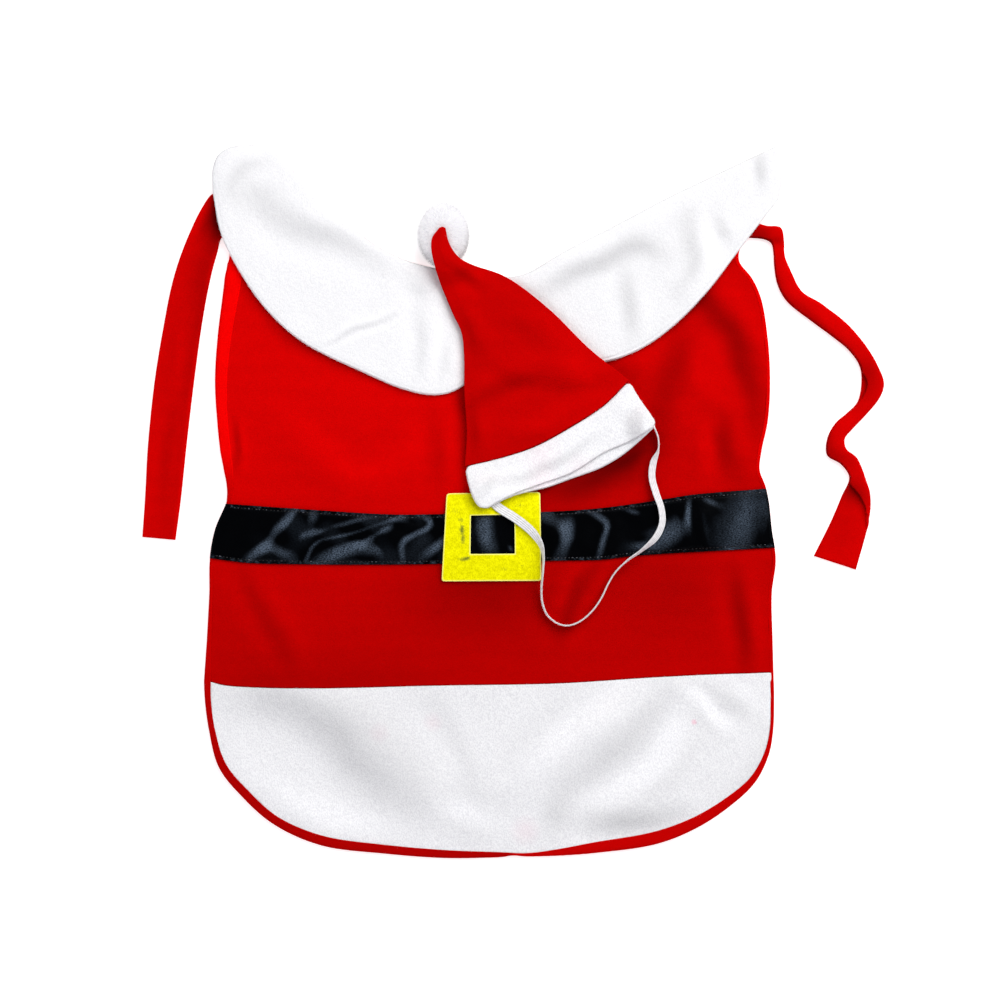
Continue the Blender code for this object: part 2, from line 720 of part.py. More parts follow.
def make_hat(below, red, plush, collection):
    """The hat pressed flat: its back on what is below, its front on its back, and a deep cuff on each."""
    lies_on = Drape(below, np.array(HAT_LEFT + HAT_RIGHT + CUFF_LEFT + CUFF_RIGHT), 5, 6)
    across, down = (spread(count) for count in HAT_GRID)
    cut = smooth(CUFF_SEAM, across) + np.array(CUFF_SQUARE) * 1.4 * GAP
    left, right = smooth(HAT_LEFT, down), smooth(HAT_RIGHT, down)
    left[-1], right[-1] = cut[0], cut[-1]
    flat = patch(smooth(HAT_TIP, across), cut, left, right, across, down)
    back = lifted(flat, lies_on(flat) + GAP)
    cloth("hat_back", back, HAT_WALL, red, collection)
    cloth("hat_front", raised(back, HAT_WALL + GAP), HAT_WALL, red, collection)
    across, down = spread(CUFF_GRID[0], BEVEL / CUFF_SPAN), spread(CUFF_GRID[1], BEVEL / CUFF_DEPTH)
    for name, mouth, height in (
        ("cuff_back", MOUTH_BACK, GAP),
        ("cuff_front", MOUTH_FRONT, CUFF_WALL + 2.3 * GAP),
    ):
        flat = patch(
            smooth(CUFF_SEAM, across),
            smooth(mouth, across),
            smooth(CUFF_LEFT, down),
            smooth(CUFF_RIGHT, down),
            across,
            down,
        )
        cloth(name, lifted(flat, lies_on(flat) + height), CUFF_WALL, plush, collection, rim=0.6)


def make_elastic(below, finish, collection):
    """The flat elastic band, lying over the cape in a loose loop and turned on its edge for part of it."""
    route = smooth(ELASTIC, spread(ELASTIC_ROWS))
    flat, turn = route[:, :2], np.radians(route[:, 2:])
    lies_on = Drape(below, flat, 4, 4)
    along = np.gradient(flat, axis=0)
    side_way = np.stack([-along[:, 1], along[:, 0]], axis=1)
    side_way /= np.linalg.norm(side_way, axis=1, keepdims=True)
    half = ELASTIC_WIDTH / 2
    base = lies_on(flat)[:, None] + ELASTIC_CLEAR + half * np.sin(turn)
    grid = []
    for share in (-1, 0, 1):
        across = flat + side_way * share * half * np.cos(turn)
        grid.append(np.concatenate([across, base + share * half * np.sin(turn)], axis=1))
    grid = np.stack(grid, axis=1)
    return cloth("elastic", grid, ELASTIC_WALL, finish, collection)


def main():
    for item in list(bpy.data.objects):
        bpy.data.objects.remove(item)
    collection = bpy.data.collections.new("pet santa costume")
    bpy.context.scene.collection.children.link(collection)

    red = material("red fleece", (0.62, 0.0, 0.0), 0.9)
    lining_red = material("lining", (0.75, 0.0, 0.0), 0.85)
    plush = material("white plush", (0.88, 0.87, 0.9), 0.95)
    satin = material("black satin", (0.012, 0.014, 0.018), 0.35)
    felt = material("yellow felt", (0.9, 0.8, 0.0), 0.95)
    rubber = material("white elastic", (0.85, 0.85, 0.85), 0.6)

    panel, strip, hem = front_grids()
    lining = make_lining(panel, hem, lining_red, collection)
    front = cloth("front_panel", lifted(panel, SEAM_LIFT + ridges(panel)), PANEL_WALL, red, collection)
    band = cloth("hem_band", lifted(hem, SEAM_LIFT + ridges(hem)), HEM_WALL, plush, collection)
    belt = make_belt(strip, satin, collection)

    under_buckle = Drape([belt, front], BUCKLE_OUTER, 0.0, 0.0)
    buckle = make_buckle(under_buckle.height.max() + GAP, felt, collection)

    carries = [front, lining, make_tie_left(red, collection), make_tie_right(red, collection)]
    collars = [
        make_collar(name, edges, carries, plush, collection)
        for name, edges in (("collar_left", COLLAR_LEFT), ("collar_right", COLLAR_RIGHT))
    ]
    pompom = make_pompom(plush, collection)
    make_hat([*collars, front, lining, belt, buckle, pompom], red, plush, collection)
    make_elastic([front, belt, buckle, band], rubber, collection)


main()
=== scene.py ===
"""Looks of a pet santa costume laid flat: a fleece cape with its collar, hem, belt, buckle, ties and hat.

Tables of places are in millimetres, as seen from above: X to the right, Y towards the neck, Z up from the
table. Meshes are in metres.
"""

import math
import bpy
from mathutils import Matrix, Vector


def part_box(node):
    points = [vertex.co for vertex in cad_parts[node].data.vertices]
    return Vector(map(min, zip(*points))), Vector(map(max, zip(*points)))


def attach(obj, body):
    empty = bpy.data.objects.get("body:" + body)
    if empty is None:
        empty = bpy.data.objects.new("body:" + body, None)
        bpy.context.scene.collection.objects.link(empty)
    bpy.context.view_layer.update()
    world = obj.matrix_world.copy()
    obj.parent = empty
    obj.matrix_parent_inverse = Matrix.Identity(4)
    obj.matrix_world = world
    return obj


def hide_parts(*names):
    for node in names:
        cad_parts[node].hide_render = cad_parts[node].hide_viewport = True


bl_info = {
    "name": "Pet Santa Costume",
    "version": (1, 0, 0),
    "blender": (4, 5, 0),
    "location": "View3D > Sidebar > Costume",
    "description": "Cloth, plush, satin, felt and elastic of a pet santa costume laid flat",
    "category": "Add Mesh",
}

import bmesh
import bpy
import numpy as np
from bpy.props import FloatProperty, FloatVectorProperty, IntProperty, PointerProperty
from mathutils import Vector
from mathutils.bvhtree import BVHTree

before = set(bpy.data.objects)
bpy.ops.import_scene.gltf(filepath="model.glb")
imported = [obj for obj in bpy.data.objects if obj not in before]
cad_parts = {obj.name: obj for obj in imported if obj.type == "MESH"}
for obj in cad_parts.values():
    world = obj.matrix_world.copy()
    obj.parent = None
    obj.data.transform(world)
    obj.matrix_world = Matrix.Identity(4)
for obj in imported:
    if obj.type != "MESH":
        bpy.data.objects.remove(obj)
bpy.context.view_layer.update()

MM = 0.001
GAP = 0.3  # between pieces that touch
LINING_WALL = 1.3
SEAM_LIFT = LINING_WALL + GAP  # underside of the cape's front layer
NECK_RIM = 1.5  # how far the lining rolls past the front along the neck
BELT_OVER_RIM = 1.2  # how far each end of the belt reaches past the front's side edge
LIGHT_WAY = np.array((0.55, 0.83))  # towards the light, seen from above

PHOTO_CENTRE = (-8.8, 1.5)  # what the camera looks straight down on
PHOTO_WIDTH = 1000  # pixels
PIXEL = 0.66  # of the photo, at the height below
PIXEL_HEIGHT = 3.5
LENS = 100.0
SENSOR = 36.0
# Name, place in metres, size, power and colour. Each light faces the costume's middle.
LIGHTS = (
    ("key", (0.95, 1.45, 1.75), 2.0, 66.5, (1.0, 0.995, 0.98)),
    ("fill_left", (-1.5, 0.1, 1.0), 1.2, 9.5, (0.95, 0.96, 1.0)),
    ("fill_front", (-0.4, -1.5, 1.0), 1.2, 11.6, (0.95, 0.96, 1.0)),
    ("fill_right", (1.5, -0.3, 1.0), 1.2, 6.3, (0.95, 0.96, 1.0)),
)

TIE_WIDTH = 24.0  # the left tie, across, about
STRAP_WIDTH = 26.0  # the right tie, before it is folded lengthwise
STRAP_ROUND = 2.5  # outer radius of that fold
ELASTIC_CLEAR = 0.4  # under the elastic
ELASTIC_MORE_TURN = (1.2, 1.7)  # times the turns of its table, at its first and last end
ELASTIC_STEEPEST = 86.0  # degrees
POMPOM_FULL = (1.16, 1.25, 1.0)  # size of its core along X, Y and Z, as a share of the solid's
POMPOM_LOCKS = 900  # that its fibres gather into
BELT_DEPTH = 36.0  # from the belt's top to its foot, about
BELT_ON_RIM = (-188.0, 166.0)  # x, left and right, past which the belt lies over the rim
SEWN_IN = 1.8  # from each edge of the belt to its row of stitches
ELASTIC_ENDS = ((-15.0, 1.5, 0), (90.5, 52.5, 30))  # under the two ends of the cuff
LINING_LEFT, FRONT_LEFT, FRONT_RIGHT, LINING_RIGHT = 1, 2, 3, 4  # columns of CAPE_SECTIONS

# The rolled edge of the lining, from its underside up round the roll and back in over the front.
# share of the rim's width, distance in over the front, share of the height
RIM_SECTION = (
    (0.72, 0.0, 0.0),
    (0.93, 0.0, 0.08),
    (1.0, 0.0, 0.35),
    (0.95, 0.0, 0.7),
    (0.78, 0.0, 0.96),
    (0.5, 0.0, 1.05),
    (0.2, 0.0, 1.09),
    (0.0, 0.6, 1.1),
    (0.0, 1.2, 1.06),
    (0.0, 1.5, 1.01),
    (0.0, 0.7, 1.0),
    (0.0, 0.0, 0.8),
    (0.02, 0.0, 0.42),
)

# The cape's side edges. The lining is cut wider and rolls round the edge of the front, as a red rim.
# y, lining left, front left, front right, lining right
CAPE_SECTIONS = (
    (226, -188.5, -187.0, 170.0, 171.5),
    (206, -193.0, -191.0, 169.5, 171.0),
    (190, -191.5, -188.5, 162.0, 163.5),
    (177, -188.5, -184.5, 153.5, 155.0),
    (166, -188.0, -181.0, 147.8, 149.3),
    (158, -189.5, -179.5, 148.0, 149.6),
    (147, -191.5, -180.5, 156.5, 158.0),
    (133, -193.0, -183.0, 162.5, 164.0),
    (107, -196.0, -187.5, 166.6, 168.1),
    (80, -197.5, -190.0, 168.0, 169.5),
    (54, -196.0, -189.5, 166.6, 168.1),
    (34, -194.0, -187.5, 162.5, 164.0),
    (21, -191.5, -186.0, 161.3, 162.8),
    (10, -189.5, -185.8, 165.3, 166.8),
    (0, -189.5, -188.2, 167.5, 168.8),
    (-18, -197.0, -195.7, 169.4, 170.7),
    (-38, -200.5, -199.2, 172.1, 173.4),
    (-60, -200.8, -199.4, 169.4, 170.8),
    (-91, -202.5, -200.4, 169.9, 171.3),
    (-118, -204.5, -200.8, 170.6, 172.0),
)

# Curves across the cape, left to right: x, y.
NECK_EDGE = (
    (-187.0, 226.0), (-182.5, 231.0), (-174.0, 232.5), (-162.0, 229.0), (-150.5, 219.0), (-128.0, 195.0),
    (-100.5, 173.5), (-79.0, 160.0), (-54.0, 150.5), (-20.0, 146.5), (6.0, 147.0), (37.0, 163.0),
    (102.5, 197.0), (137.0, 213.5), (164.0, 226.5), (170.0, 226.0),
)
BELT_TOP = (
    (-188.6, -1), (-146, -4), (-81, -8), (-49, -7.8), (19, -6.4), (58, -3.8), (99, 2), (118, 5), (166, 9),
)
BELT_FOOT = (
    (-199, -37), (-176, -40), (-136, -41), (-65, -41), (21, -38.7), (58, -38), (79, -35.5), (171, -30),
)
HEM_SEAM = (
    (-200.8, -118), (-190, -120.7), (-126, -122.3), (-52, -120.8), (32, -119.2), (100, -114.8),
    (170.6, -112),
)

# The rounded hem, from the left end of its seam to the right end.
# x, y, width of the rolled rim outside it
HEM_EDGE = (
    (-200.8, -118.0, 3.7),
    (-200.6, -131.0, 3.2),
    (-198.0, -150.0, 3.2),
    (-190.5, -173.0, 4.6),
    (-176.0, -190.5, 5.2),
    (-155.5, -208.5, 5.2),
    (-125.5, -221.0, 6.0),
    (-85.5, -227.0, 5.2),
    (-45.0, -230.6, 4.6),
    (-9.0, -232.0, 2.6),
    (9.0, -232.6, 1.4),
    (29.5, -230.0, 3.6),
    (53.5, -225.5, 6.5),
    (93.0, -218.5, 7.8),
    (118.0, -209.5, 6.8),
    (139.5, -197.0, 5.4),
    (157.0, -182.5, 3.8),
    (166.5, -166.0, 2.4),
    (170.2, -151.0, 1.4),
    (170.9, -131.0, 1.4),
    (170.6, -112.0, 1.4),
)
HEM_CORNER = 0.2  # where the hem's round corners are, as a fraction of its edge from each end

# Soft ridges of the front, which stands off the lining there.
# x and y of one end, x and y of the other, height, half width
FOLDS = (
    (128, 118, 148, 62, 2.6, 15),
    (124, 78, 130, 36, 1.6, 14),
    (-150, 78, -120, 22, 1.0, 24),
    (-186, -58, -150, -96, 1.4, 17),
    (-40, -66, 30, -96, 1.3, 20),
    (152, -52, 158, -112, 1.8, 16),
    (-150, -124, -58, -188, 3.0, 19),
    (-186, -168, -128, -204, 1.6, 16),
    (-18, -192, 62, -150, 1.8, 18),
    (62, -150, 104, -118, 2.4, 17),
    (112, -186, 142, -140, 1.8, 18),
)

# Each half of the collar: its edge at the neck, its outer edge, its two ends, and which end is on the left.
# Edges are x, y.
COLLAR_LEFT = {
    "neck": (
        (-186.5, 234.6), (-174.5, 236.0), (-160.5, 232.5), (-136.8, 210.7), (-112.4, 187.0),
        (-85.3, 166.4), (-57.0, 155.6), (-20.5, 150.8),
    ),
    "outer": (
        (-198.3, 205.5), (-192.9, 177.1), (-181.0, 152.7), (-163.0, 127.0), (-139.5, 105.8),
        (-98.5, 85.3), (-72.0, 74.3), (-53.0, 70.6), (-38.5, 73.5), (-26.0, 84.0), (-19.6, 101.0),
    ),
    "shoulder": ((-186.5, 234.6), (-194.5, 229.5), (-198.3, 220.0), (-198.3, 205.5)),
    "centre": ((-20.5, 150.8), (-18.4, 136.0), (-18.2, 118.0), (-19.6, 101.0)),
    "ends": ("shoulder", "centre"),
}
COLLAR_RIGHT = {
    "neck": (
        (-16.5, 150.0), (4.0, 149.6), (35.4, 166.5), (66.5, 182.4), (101.4, 200.8), (135.8, 217.3),
        (173.0, 235.0),
    ),
    "outer": (
        (-13.4, 112.0), (-9.0, 100.0), (2.0, 92.5), (18.0, 89.8), (40.0, 90.0), (61.2, 92.4),
        (84.0, 101.0), (104.5, 115.2), (126.5, 137.2), (147.5, 164.4), (164.5, 186.5), (174.8, 199.5),
    ),
    "centre": ((-16.5, 150.0), (-15.2, 137.0), (-14.2, 124.0), (-13.4, 112.0)),
    "shoulder": ((173.0, 235.0), (175.0, 233.0), (177.2, 214.0), (174.8, 199.5)),
    "ends": ("centre", "shoulder"),
}

# The left tie, a flat strap, from the side seam to its cut end.
# left edge x, y, right edge x, y
TIE_LEFT = (
    (-194.4, 206.0, -189.6, 176.5),
    (-200.0, 203.0, -191.8, 175.5),
    (-207.0, 192.5, -193.8, 172.5),
    (-213.5, 179.0, -195.4, 165.5),
    (-220.6, 161.0, -198.6, 154.0),
    (-226.0, 142.5, -202.0, 138.5),
    (-231.2, 116.0, -206.0, 115.5),
    (-236.8, 82.0, -210.6, 82.0),
    (-241.4, 39.0, -215.8, 38.0),
    (-243.4, 3.0, -219.6, 2.0),
    (-245.2, -23.0, -223.2, -25.0),
)

# The right tie, the same strap folded in half lengthwise, which opens out flat near its end.
# open edge x, y, folded edge x, y
TIE_RIGHT = (
    (154.8, 174.8, 162.4, 184.2),
    (166.0, 173.6, 168.5, 182.5),
    (170.5, 171.0, 176.5, 181.5),
    (171.8, 165.0, 178.8, 173.0),
    (172.4, 155.5, 179.5, 162.5),
    (174.5, 144.0, 184.5, 150.0),
    (180.5, 133.0, 190.5, 139.5),
    (197.8, 119.0, 204.5, 130.5),
    (210.0, 110.0, 218.5, 119.5),
    (222.0, 100.0, 231.5, 105.5),
    (228.8, 90.0, 240.5, 90.5),
    (230.1, 80.0, 244.8, 79.0),
    (227.5, 66.5, 241.0, 67.5),
    (220.5, 59.0, 231.5, 56.0),
    (213.0, 52.5, 223.5, 48.0),
    (207.4, 42.0, 218.8, 42.0),
    (207.4, 31.0, 220.0, 35.0),
    (216.5, 25.0, 227.5, 28.5),
    (222.0, 16.5, 233.0, 14.5),
    (217.0, 4.0, 236.0, 4.0),
    (210.0, -12.5, 234.8, -12.0),
    (198.5, -35.5, 226.0, -44.5),
)

# The hat: its two side edges from the tip, and the line where its cuff is sewn on. x, y.
HAT_LEFT = (
    (-48.5, 179.5), (-53.2, 173.0), (-53.7, 165.0), (-49.5, 148.0), (-40.5, 125.5), (-33.8, 110.0),
    (-32.2, 69.5), (-30.8, 45.0), (-32.2, 23.3),
)
HAT_RIGHT = (
    (-44.5, 179.5), (-41.8, 169.0), (-34.5, 159.5), (-5.5, 148.5), (23.5, 127.0), (50.5, 100.5),
    (76.4, 80.1),
)
HAT_TIP = ((-48.5, 179.5), (-46.5, 180.2), (-44.5, 179.5))
CUFF_SEAM = ((-32.2, 23.3), (-7.5, 29.2), (14.3, 36.5), (38.7, 49.7), (59.9, 63.6), (76.4, 80.1))
CUFF_LEFT = ((-32.2, 23.3), (-28.2, 7.0), (-24.0, -1.5), (-19.3, -5.1))
CUFF_RIGHT = ((76.4, 80.1), (81.6, 70.8), (88.9, 59.6), (94.6, 51.0))
MOUTH_FRONT = (
    (-19.3, -5.1), (-0.2, 5.1), (18.6, 12.1), (38.7, 19.3), (59.9, 32.5), (78.0, 40.5), (94.6, 51.0),
)
MOUTH_BACK = (
    (-19.3, -5.1), (-0.2, 4.0), (22.9, 10.0), (38.7, 15.6), (58.5, 23.0), (73.7, 32.3), (94.6, 51.0),
)
CUFF_SQUARE = (-0.46, 0.89)  # from the cuff towards the tip of the hat, square to its seam

POMPOM_CENTRE = (-46.0, 175.8)
POMPOM_CORE = (12.6, 15.4, 8.6)  # half its size along X, Y and Z

# The buckle's corners and those of its hole, x, y.
BUCKLE_OUTER = ((-44.1, 5.9), (17.8, 6.9), (18.5, -51.9), (-47.4, -52.2))
BUCKLE_HOLE = ((-27.9, -8.8), (0.6, -8.2), (0.9, -33.8), (-28.2, -34.0))
BUCKLE_CORNER = 2.2
HOLE_CORNER = 0.6

# The hat's elastic, from the left end of the cuff's mouth round to the right end.
# x, y, turn of the band about its own line in degrees, before ELASTIC_MORE_TURN: 0 lies flat
ELASTIC = (
    (-8.6, -4.2, 0),
    (0.1, -9.6, 5),
    (7.1, -14.6, 10),
    (13.7, -20.7, 20),
    (18.6, -28.0, 45),
    (20.3, -36.0, 62),
    (19.9, -46.0, 66),
    (19.0, -57.0, 66),
    (19.6, -66.0, 66),
    (22.9, -74.1, 66),
    (30.2, -79.7, 66),
    (37.0, -80.5, 66),
    (44.5, -77.4, 66),
    (52.2, -70.4, 66),
    (57.9, -62.0, 66),
    (62.0, -53.4, 66),
    (67.0, -45.4, 62),
    (74.4, -38.1, 55),
    (84.6, -30.8, 46),
    (93.6, -22.6, 28),
    (97.6, -13.4, 27),
    (97.0, -4.0, 27),
    (93.6, 6.0, 25),
    (91.0, 17.0, 24),
    (92.0, 26.5, 25),
    (95.0, 35.0, 50),
    (94.6, 43.2, 70),
)

# Dark and bright bands of the cloth: rise, half width, then x, y of points along the band. Across a band the
# cloth rises towards the light, which shades it, or falls where the rise is negative, which lights it.
# The same bands also paint shade, and a little light, into the cloth's tone, and the belt's sheen.
FRONT_ROLLS = (
    (3.8, 14, (106, 150), (127, 134), (147, 104), (157, 74), (160, 56)),
    (2.6, 16, (118, 116), (108, 92), (101, 70), (96, 36)),
    (2.2, 11, (128, 76), (138, 41), (147, 18)),
    (1.8, 9, (146, -48), (150, -70), (154, -110)),
    (1.5, 8, (56, -40), (42, -60), (31, -88)),
    (1.2, 10, (-178, -44), (-172, -60), (-158, -84), (-146, -108)),
    (0.8, 4, (-184, 54), (-182, 21)),
    (1.0, 10, (-52, 60), (-50, 12)),
    (-1.0, 16, (-150, 60), (-100, 20), (-60, 40)),
    (-1.6, 10, (120, 96), (132, 62), (128, 26)),
)
HEM_ROLLS = (
    (1.4, 16, (-176, -131), (-146, -131), (-118, -146)),
    (3.6, 25, (-150, -136), (-118, -150), (-102, -170), (-78, -192)),
    (0.8, 12, (-55, -126), (-32, -170), (-24, -190)),
    (2.0, 15, (100, -126), (82, -148), (58, -172), (36, -190), (28, -214)),
    (1.8, 12, (46, -212), (78, -212), (110, -206)),
    (1.4, 10, (136, -126), (156, -142)),
    (-1.5, 16, (-172, -180), (-130, -204), (-80, -214)),
    (-1.8, 14, (66, -128), (34, -152), (10, -176)),
    (-1.8, 12, (112, -140), (96, -170), (66, -196)),
    (-1.1, 7, (115, -123), (126, -133), (138, -146)),
    (-1.2, 12, (-44, -200), (-12, -210)),
)
COLLAR_LEFT_ROLLS = (
    (1.4, 8, (-164, 225), (-177, 221), (-186, 209), (-184, 199)),
    (2.0, 13, (-170, 200), (-150, 184), (-132, 177), (-112, 172), (-88, 158)),
    (0.9, 3, (-124, 104), (-108, 112), (-88, 119), (-78, 124)),
    (1.2, 8, (-63, 127), (-60, 107), (-62, 87)),
    (0.9, 7, (-45, 104), (-47, 84)),
    (0.8, 8, (-68, 147), (-58, 133)),
)
COLLAR_RIGHT_ROLLS = (
    (1.6, 9, (18, 140), (52, 156), (82, 168), (98, 164)),
    (1.2, 8, (117, 190), (118, 173), (120, 157), (108, 140)),
    (1.0, 8, (72, 147), (77, 127), (78, 112)),
    (1.0, 6, (163, 226), (164, 209)),
    (0.8, 7, (136, 183), (140, 174)),
    (-1.0, 12, (30, 160), (80, 186), (120, 206)),
)
HAT_ROLLS = (
    (1.7, 9, (24, 84), (-4, 78), (-24, 64)),
    (1.2, 8, (-28, 60), (-24, 34)),
    (1.4, 9, (-38, 124), (-20, 94)),
    (1.2, 6, (-44, 156), (-22, 142)),
    (-1.3, 13, (34, 96), (52, 76)),
    (0.9, 10, (-6, 122), (22, 104)),
    (-1.2, 10, (-6, 52), (20, 54), (38, 66)),
)
CUFF_ROLLS = (
    (1.4, 6, (-16, 12), (18, 21), (54, 42)),
    (1.0, 5, (-22, 4), (-14, 16)),
    (-0.5, 8, (70, 72), (88, 60)),
)
BELT_ROLLS = (
    (-2.2, 5.6, (-143, -2), (-148, -10), (-155, -17), (-162, -26), (-172, -37)),
    (-3.0, 7.5, (-172, -35), (-157, -31), (-148, -36)),
    (1.2, 5, (-140, -8), (-146, -20), (-150, -28)),
    (-1.5, 7.5, (-132, -3), (-133, -20)),
    (-1.1, 4, (-143, -23), (-132, -20), (-120, -20)),
    (-1.1, 3.2, (-127, -19), (-111, -14), (-84, -9)),
    (-1.5, 2.6, (-137, -38), (-134, -31), (-129, -26), (-116, -22.5), (-100, -17.5), (-74, -9)),
    (-4.2, 9, (-128, -40), (-108, -31), (-90, -30)),
    (-1.4, 5, (-106, -26), (-96, -27)),
    (-2.1, 5.2, (-101, -25), (-86, -18), (-72, -9)),
    (1.3, 5, (-90, -21), (-79, -35)),
    (-1.9, 4.0, (-60, -8), (-55, -14), (-57, -18), (-65, -22), (-72, -28), (-72, -38)),
    (1.0, 4, (-79, -14), (-68, -19)),
    (-2.2, 5.5, (-58, -36), (-50, -29), (-44, -24)),
    (-4.0, 10, (-21, -2), (-19, -18), (-15, -34)),
    (-0.9, 3, (-4, -29), (-1, -33)),
    (-3.0, 9, (16, -5), (26, -12), (38, -19)),
    (-2.9, 7.5, (38, -8), (34, -20), (30, -36)),
    (-1.5, 3.9, (47, -5), (55, -9), (62, -15), (60, -24), (55, -38)),
    (-1.2, 4, (74, -5), (84, -7)),
    (-1.1, 4, (80, -29), (93, -27)),
    (-5.2, 14, (86, -28), (106, -19), (118, -8)),
    (-1.5, 3.6, (117, 3), (116, -14)),
    (1.2, 4, (120, -4), (124, -32)),
    (-1.2, 4, (125, 3), (135, -1)),
    (-7.0, 21, (156, 8), (151, -12), (142, -38)),
    (-1.6, 12, (134, 0), (130, -30)),
    (1.0, 4, (170, 6), (172, -28)),
)
TIE_LEFT_ROLLS = (
    (1.4, 5, (-198, 196), (-206, 176)),
    (-0.8, 6, (-214, 130), (-224, 70)),
    (0.9, 6, (-226, 60), (-232, 0)),
    (0.9, 4, (-203, 140), (-208, 100)),
)

# Painted shade on the ties, in folds and by the pieces next to them: strength, half width, then x, y of
# points along it.
TIE_LEFT_SHADES = (
    (0.80, 7, (-190, 206), (-195, 192), (-196, 170)),
    (0.18, 8, (-198, 184), (-204, 150), (-210, 110)),
)
TIE_RIGHT_SHADES = (
    (0.55, 7, (148, 176), (158, 177), (172, 176)),
    (0.35, 2, (167, 172), (179, 172.5)),
    (0.34, 4, (168, 172), (173, 154), (179, 137), (196, 123), (218, 104), (232, 86)),
    (0.34, 8, (230, 98), (235, 82), (231, 64)),
    (0.42, 6, (208, 48), (209, 34), (224, 24)),
    (0.48, 7, (216, 13), (224, 7), (233, 1)),
    (0.17, 14, (224, 12), (217, -16), (211, -42)),
)

# Painted shade on the front, hem and collar, in folds and by the pieces that lie on them: strength, half
# width, then x, y of points along it.
FRONT_SHADES = (
    (0.62, 14, (10, 4), (46, 14), (66, 21), (90, 36)),
    (0.60, 6, (56, 21), (76, 30), (92, 37)),
    (0.38, 28, (-62, -56), (0, -55), (26, -53)),
    (0.16, 24, (60, -50), (92, -52), (134, -54)),
    (0.17, 20, (-186, -116), (-120, -120), (-50, -120)),
    (0.35, 4, (-34, 20), (-33, 60), (-38, 96)),
    (0.30, 5, (20, 96), (56, 99), (90, 114), (120, 138)),
    (0.50, 10, (92, 118), (112, 132), (132, 158)),
    (0.22, 12, (70, 88), (92, 74)),
    (0.22, 4.5, (-186, 156), (-168, 128), (-150, 109), (-126, 96), (-84, 80)),
)
HEM_SHADES = (
    (0.10, 26, (-195, -126), (-130, -134), (-104, -160), (-74, -186)),
    (0.06, 20, (-90, -126), (-30, -132)),
    (0.07, 15, (-108, -130), (-88, -150), (-70, -172), (-56, -190)),
    (0.05, 14, (34, -200), (62, -204), (112, -198)),
    (0.12, 10, (54, -213), (106, -210)),
    (0.10, 8, (30, -198), (26, -216)),
    (0.08, 6, (168, -150), (160, -176), (130, -206)),
)
COLLAR_SHADES = (
    (0.08, 13, (-182, 206), (-152, 188), (-122, 173), (-96, 160)),
    (0.11, 10, (16, 134), (44, 150), (68, 163), (92, 172)),
    (0.08, 10, (66, 180), (84, 170), (98, 158)),
    (0.10, 7, (74, 154), (76, 131), (79, 108)),
    (0.10, 8, (112, 194), (113, 172), (118, 150)),
    (0.09, 5, (133, 192), (140, 172)),
    (0.11, 6, (160, 232), (167, 212)),
    (0.10, 6, (-34, 104), (-36, 122), (-42, 140), (-48, 152)),
    (0.10, 7, (-2, 146), (22, 122), (42, 102)),
    (0.06, 12, (-186, 218), (-172, 206), (-150, 200)),
)

# Glue stains of the buckle: x, y, half width, half height, strength.
STAINS = (
    (-33.8, -18.0, 1.5, 3.4, 0.9),
    (-33.2, -24.5, 1.4, 3.0, 0.8),
    (-34.4, -11.5, 2.2, 1.6, 0.5),
    (-32.6, -37.4, 3.2, 1.3, 0.8),
    (-30.0, -36.6, 1.6, 1.0, 0.7),
    (-16.0, -36.0, 3.0, 1.6, 0.25),
    (-38.0, -6.0, 3.4, 2.4, 0.25),
    (4.4, -2.0, 3.0, 2.0, 0.3),
    (-6.0, -44.0, 2.4, 1.4, 0.3),
    (6.0, -42.0, 1.8, 1.2, 0.25),
    (-40.0, -46.0, 2.6, 1.2, 0.2),
)

# Pink marks on the plush: x, y, z, radius, strength.
PINK_MARKS = (
    (119.3, -144.9, 4, 2.0, 0.75),
    (-89.0, -152.5, 4, 7.0, 0.10),
    (-53.0, -145.0, 4, 6.0, 0.08),
    (8.0, -217.0, 4, 9.0, 0.10),
    (20.0, 12.0, 10, 12.0, 0.10),
    (44.0, 22.0, 10, 10.0, 0.07),
    (18.0, 33.0, 12, 13.0, 0.09),
)


def length(name, description, millimetres):
    """A size that a user may change."""
    return FloatProperty(name=name, description=description, default=millimetres * MM, min=0.0, unit="LENGTH")


def colour(name, description, value):
    """A colour that a user may change, in linear light."""
    return FloatVectorProperty(
        name=name, description=description, default=value, size=3, subtype="COLOR", min=0.0, max=1.0
    )


class CostumeSizes(bpy.types.PropertyGroup):
    """Walls of cloth and sizes of trim."""

    panel_wall: length("Front panel", "Wall of the red front panel", 1.5)
    hem_wall: length("Hem band", "Wall of the white band at the hem", 1.9)
    collar_wall: length("Collar", "The collar's two layers of plush together", 3.4)
    belt_wall: length("Belt", "Wall of the satin ribbon", 0.8)
    buckle_wall: length("Buckle", "Wall of the felt buckle", 1.6)
    tie_wall: length("Left tie", "The left tie's two layers together", 2.2)
    strap_wall: length("Right tie", "Wall of the right tie before it is folded", 1.8)
    hat_wall: length("Hat", "Wall of each half of the hat", 1.4)
    cuff_wall: length("Cuff", "Wall of each half of the hat's cuff", 2.2)
    elastic_wall: length("Elastic wall", "Thickness of the elastic", 1.1)
    elastic_width: length("Elastic width", "Width of the elastic", 6.0)
    stitch: length("Stitch", "Length of a stitch along the belt", 1.5)
    pile: length("Plush pile", "Length of the plush's fibres", 1.3)
    pile_spacing: length("Pile spacing", "Distance between fibres of the plush", 1.0)
    pompom_pile: length("Pompom pile", "Length of the pompom's fibres", 5.2)
    pompom_fibres: IntProperty(name="Pompom fibres", description="Number of them", default=15000, min=0)


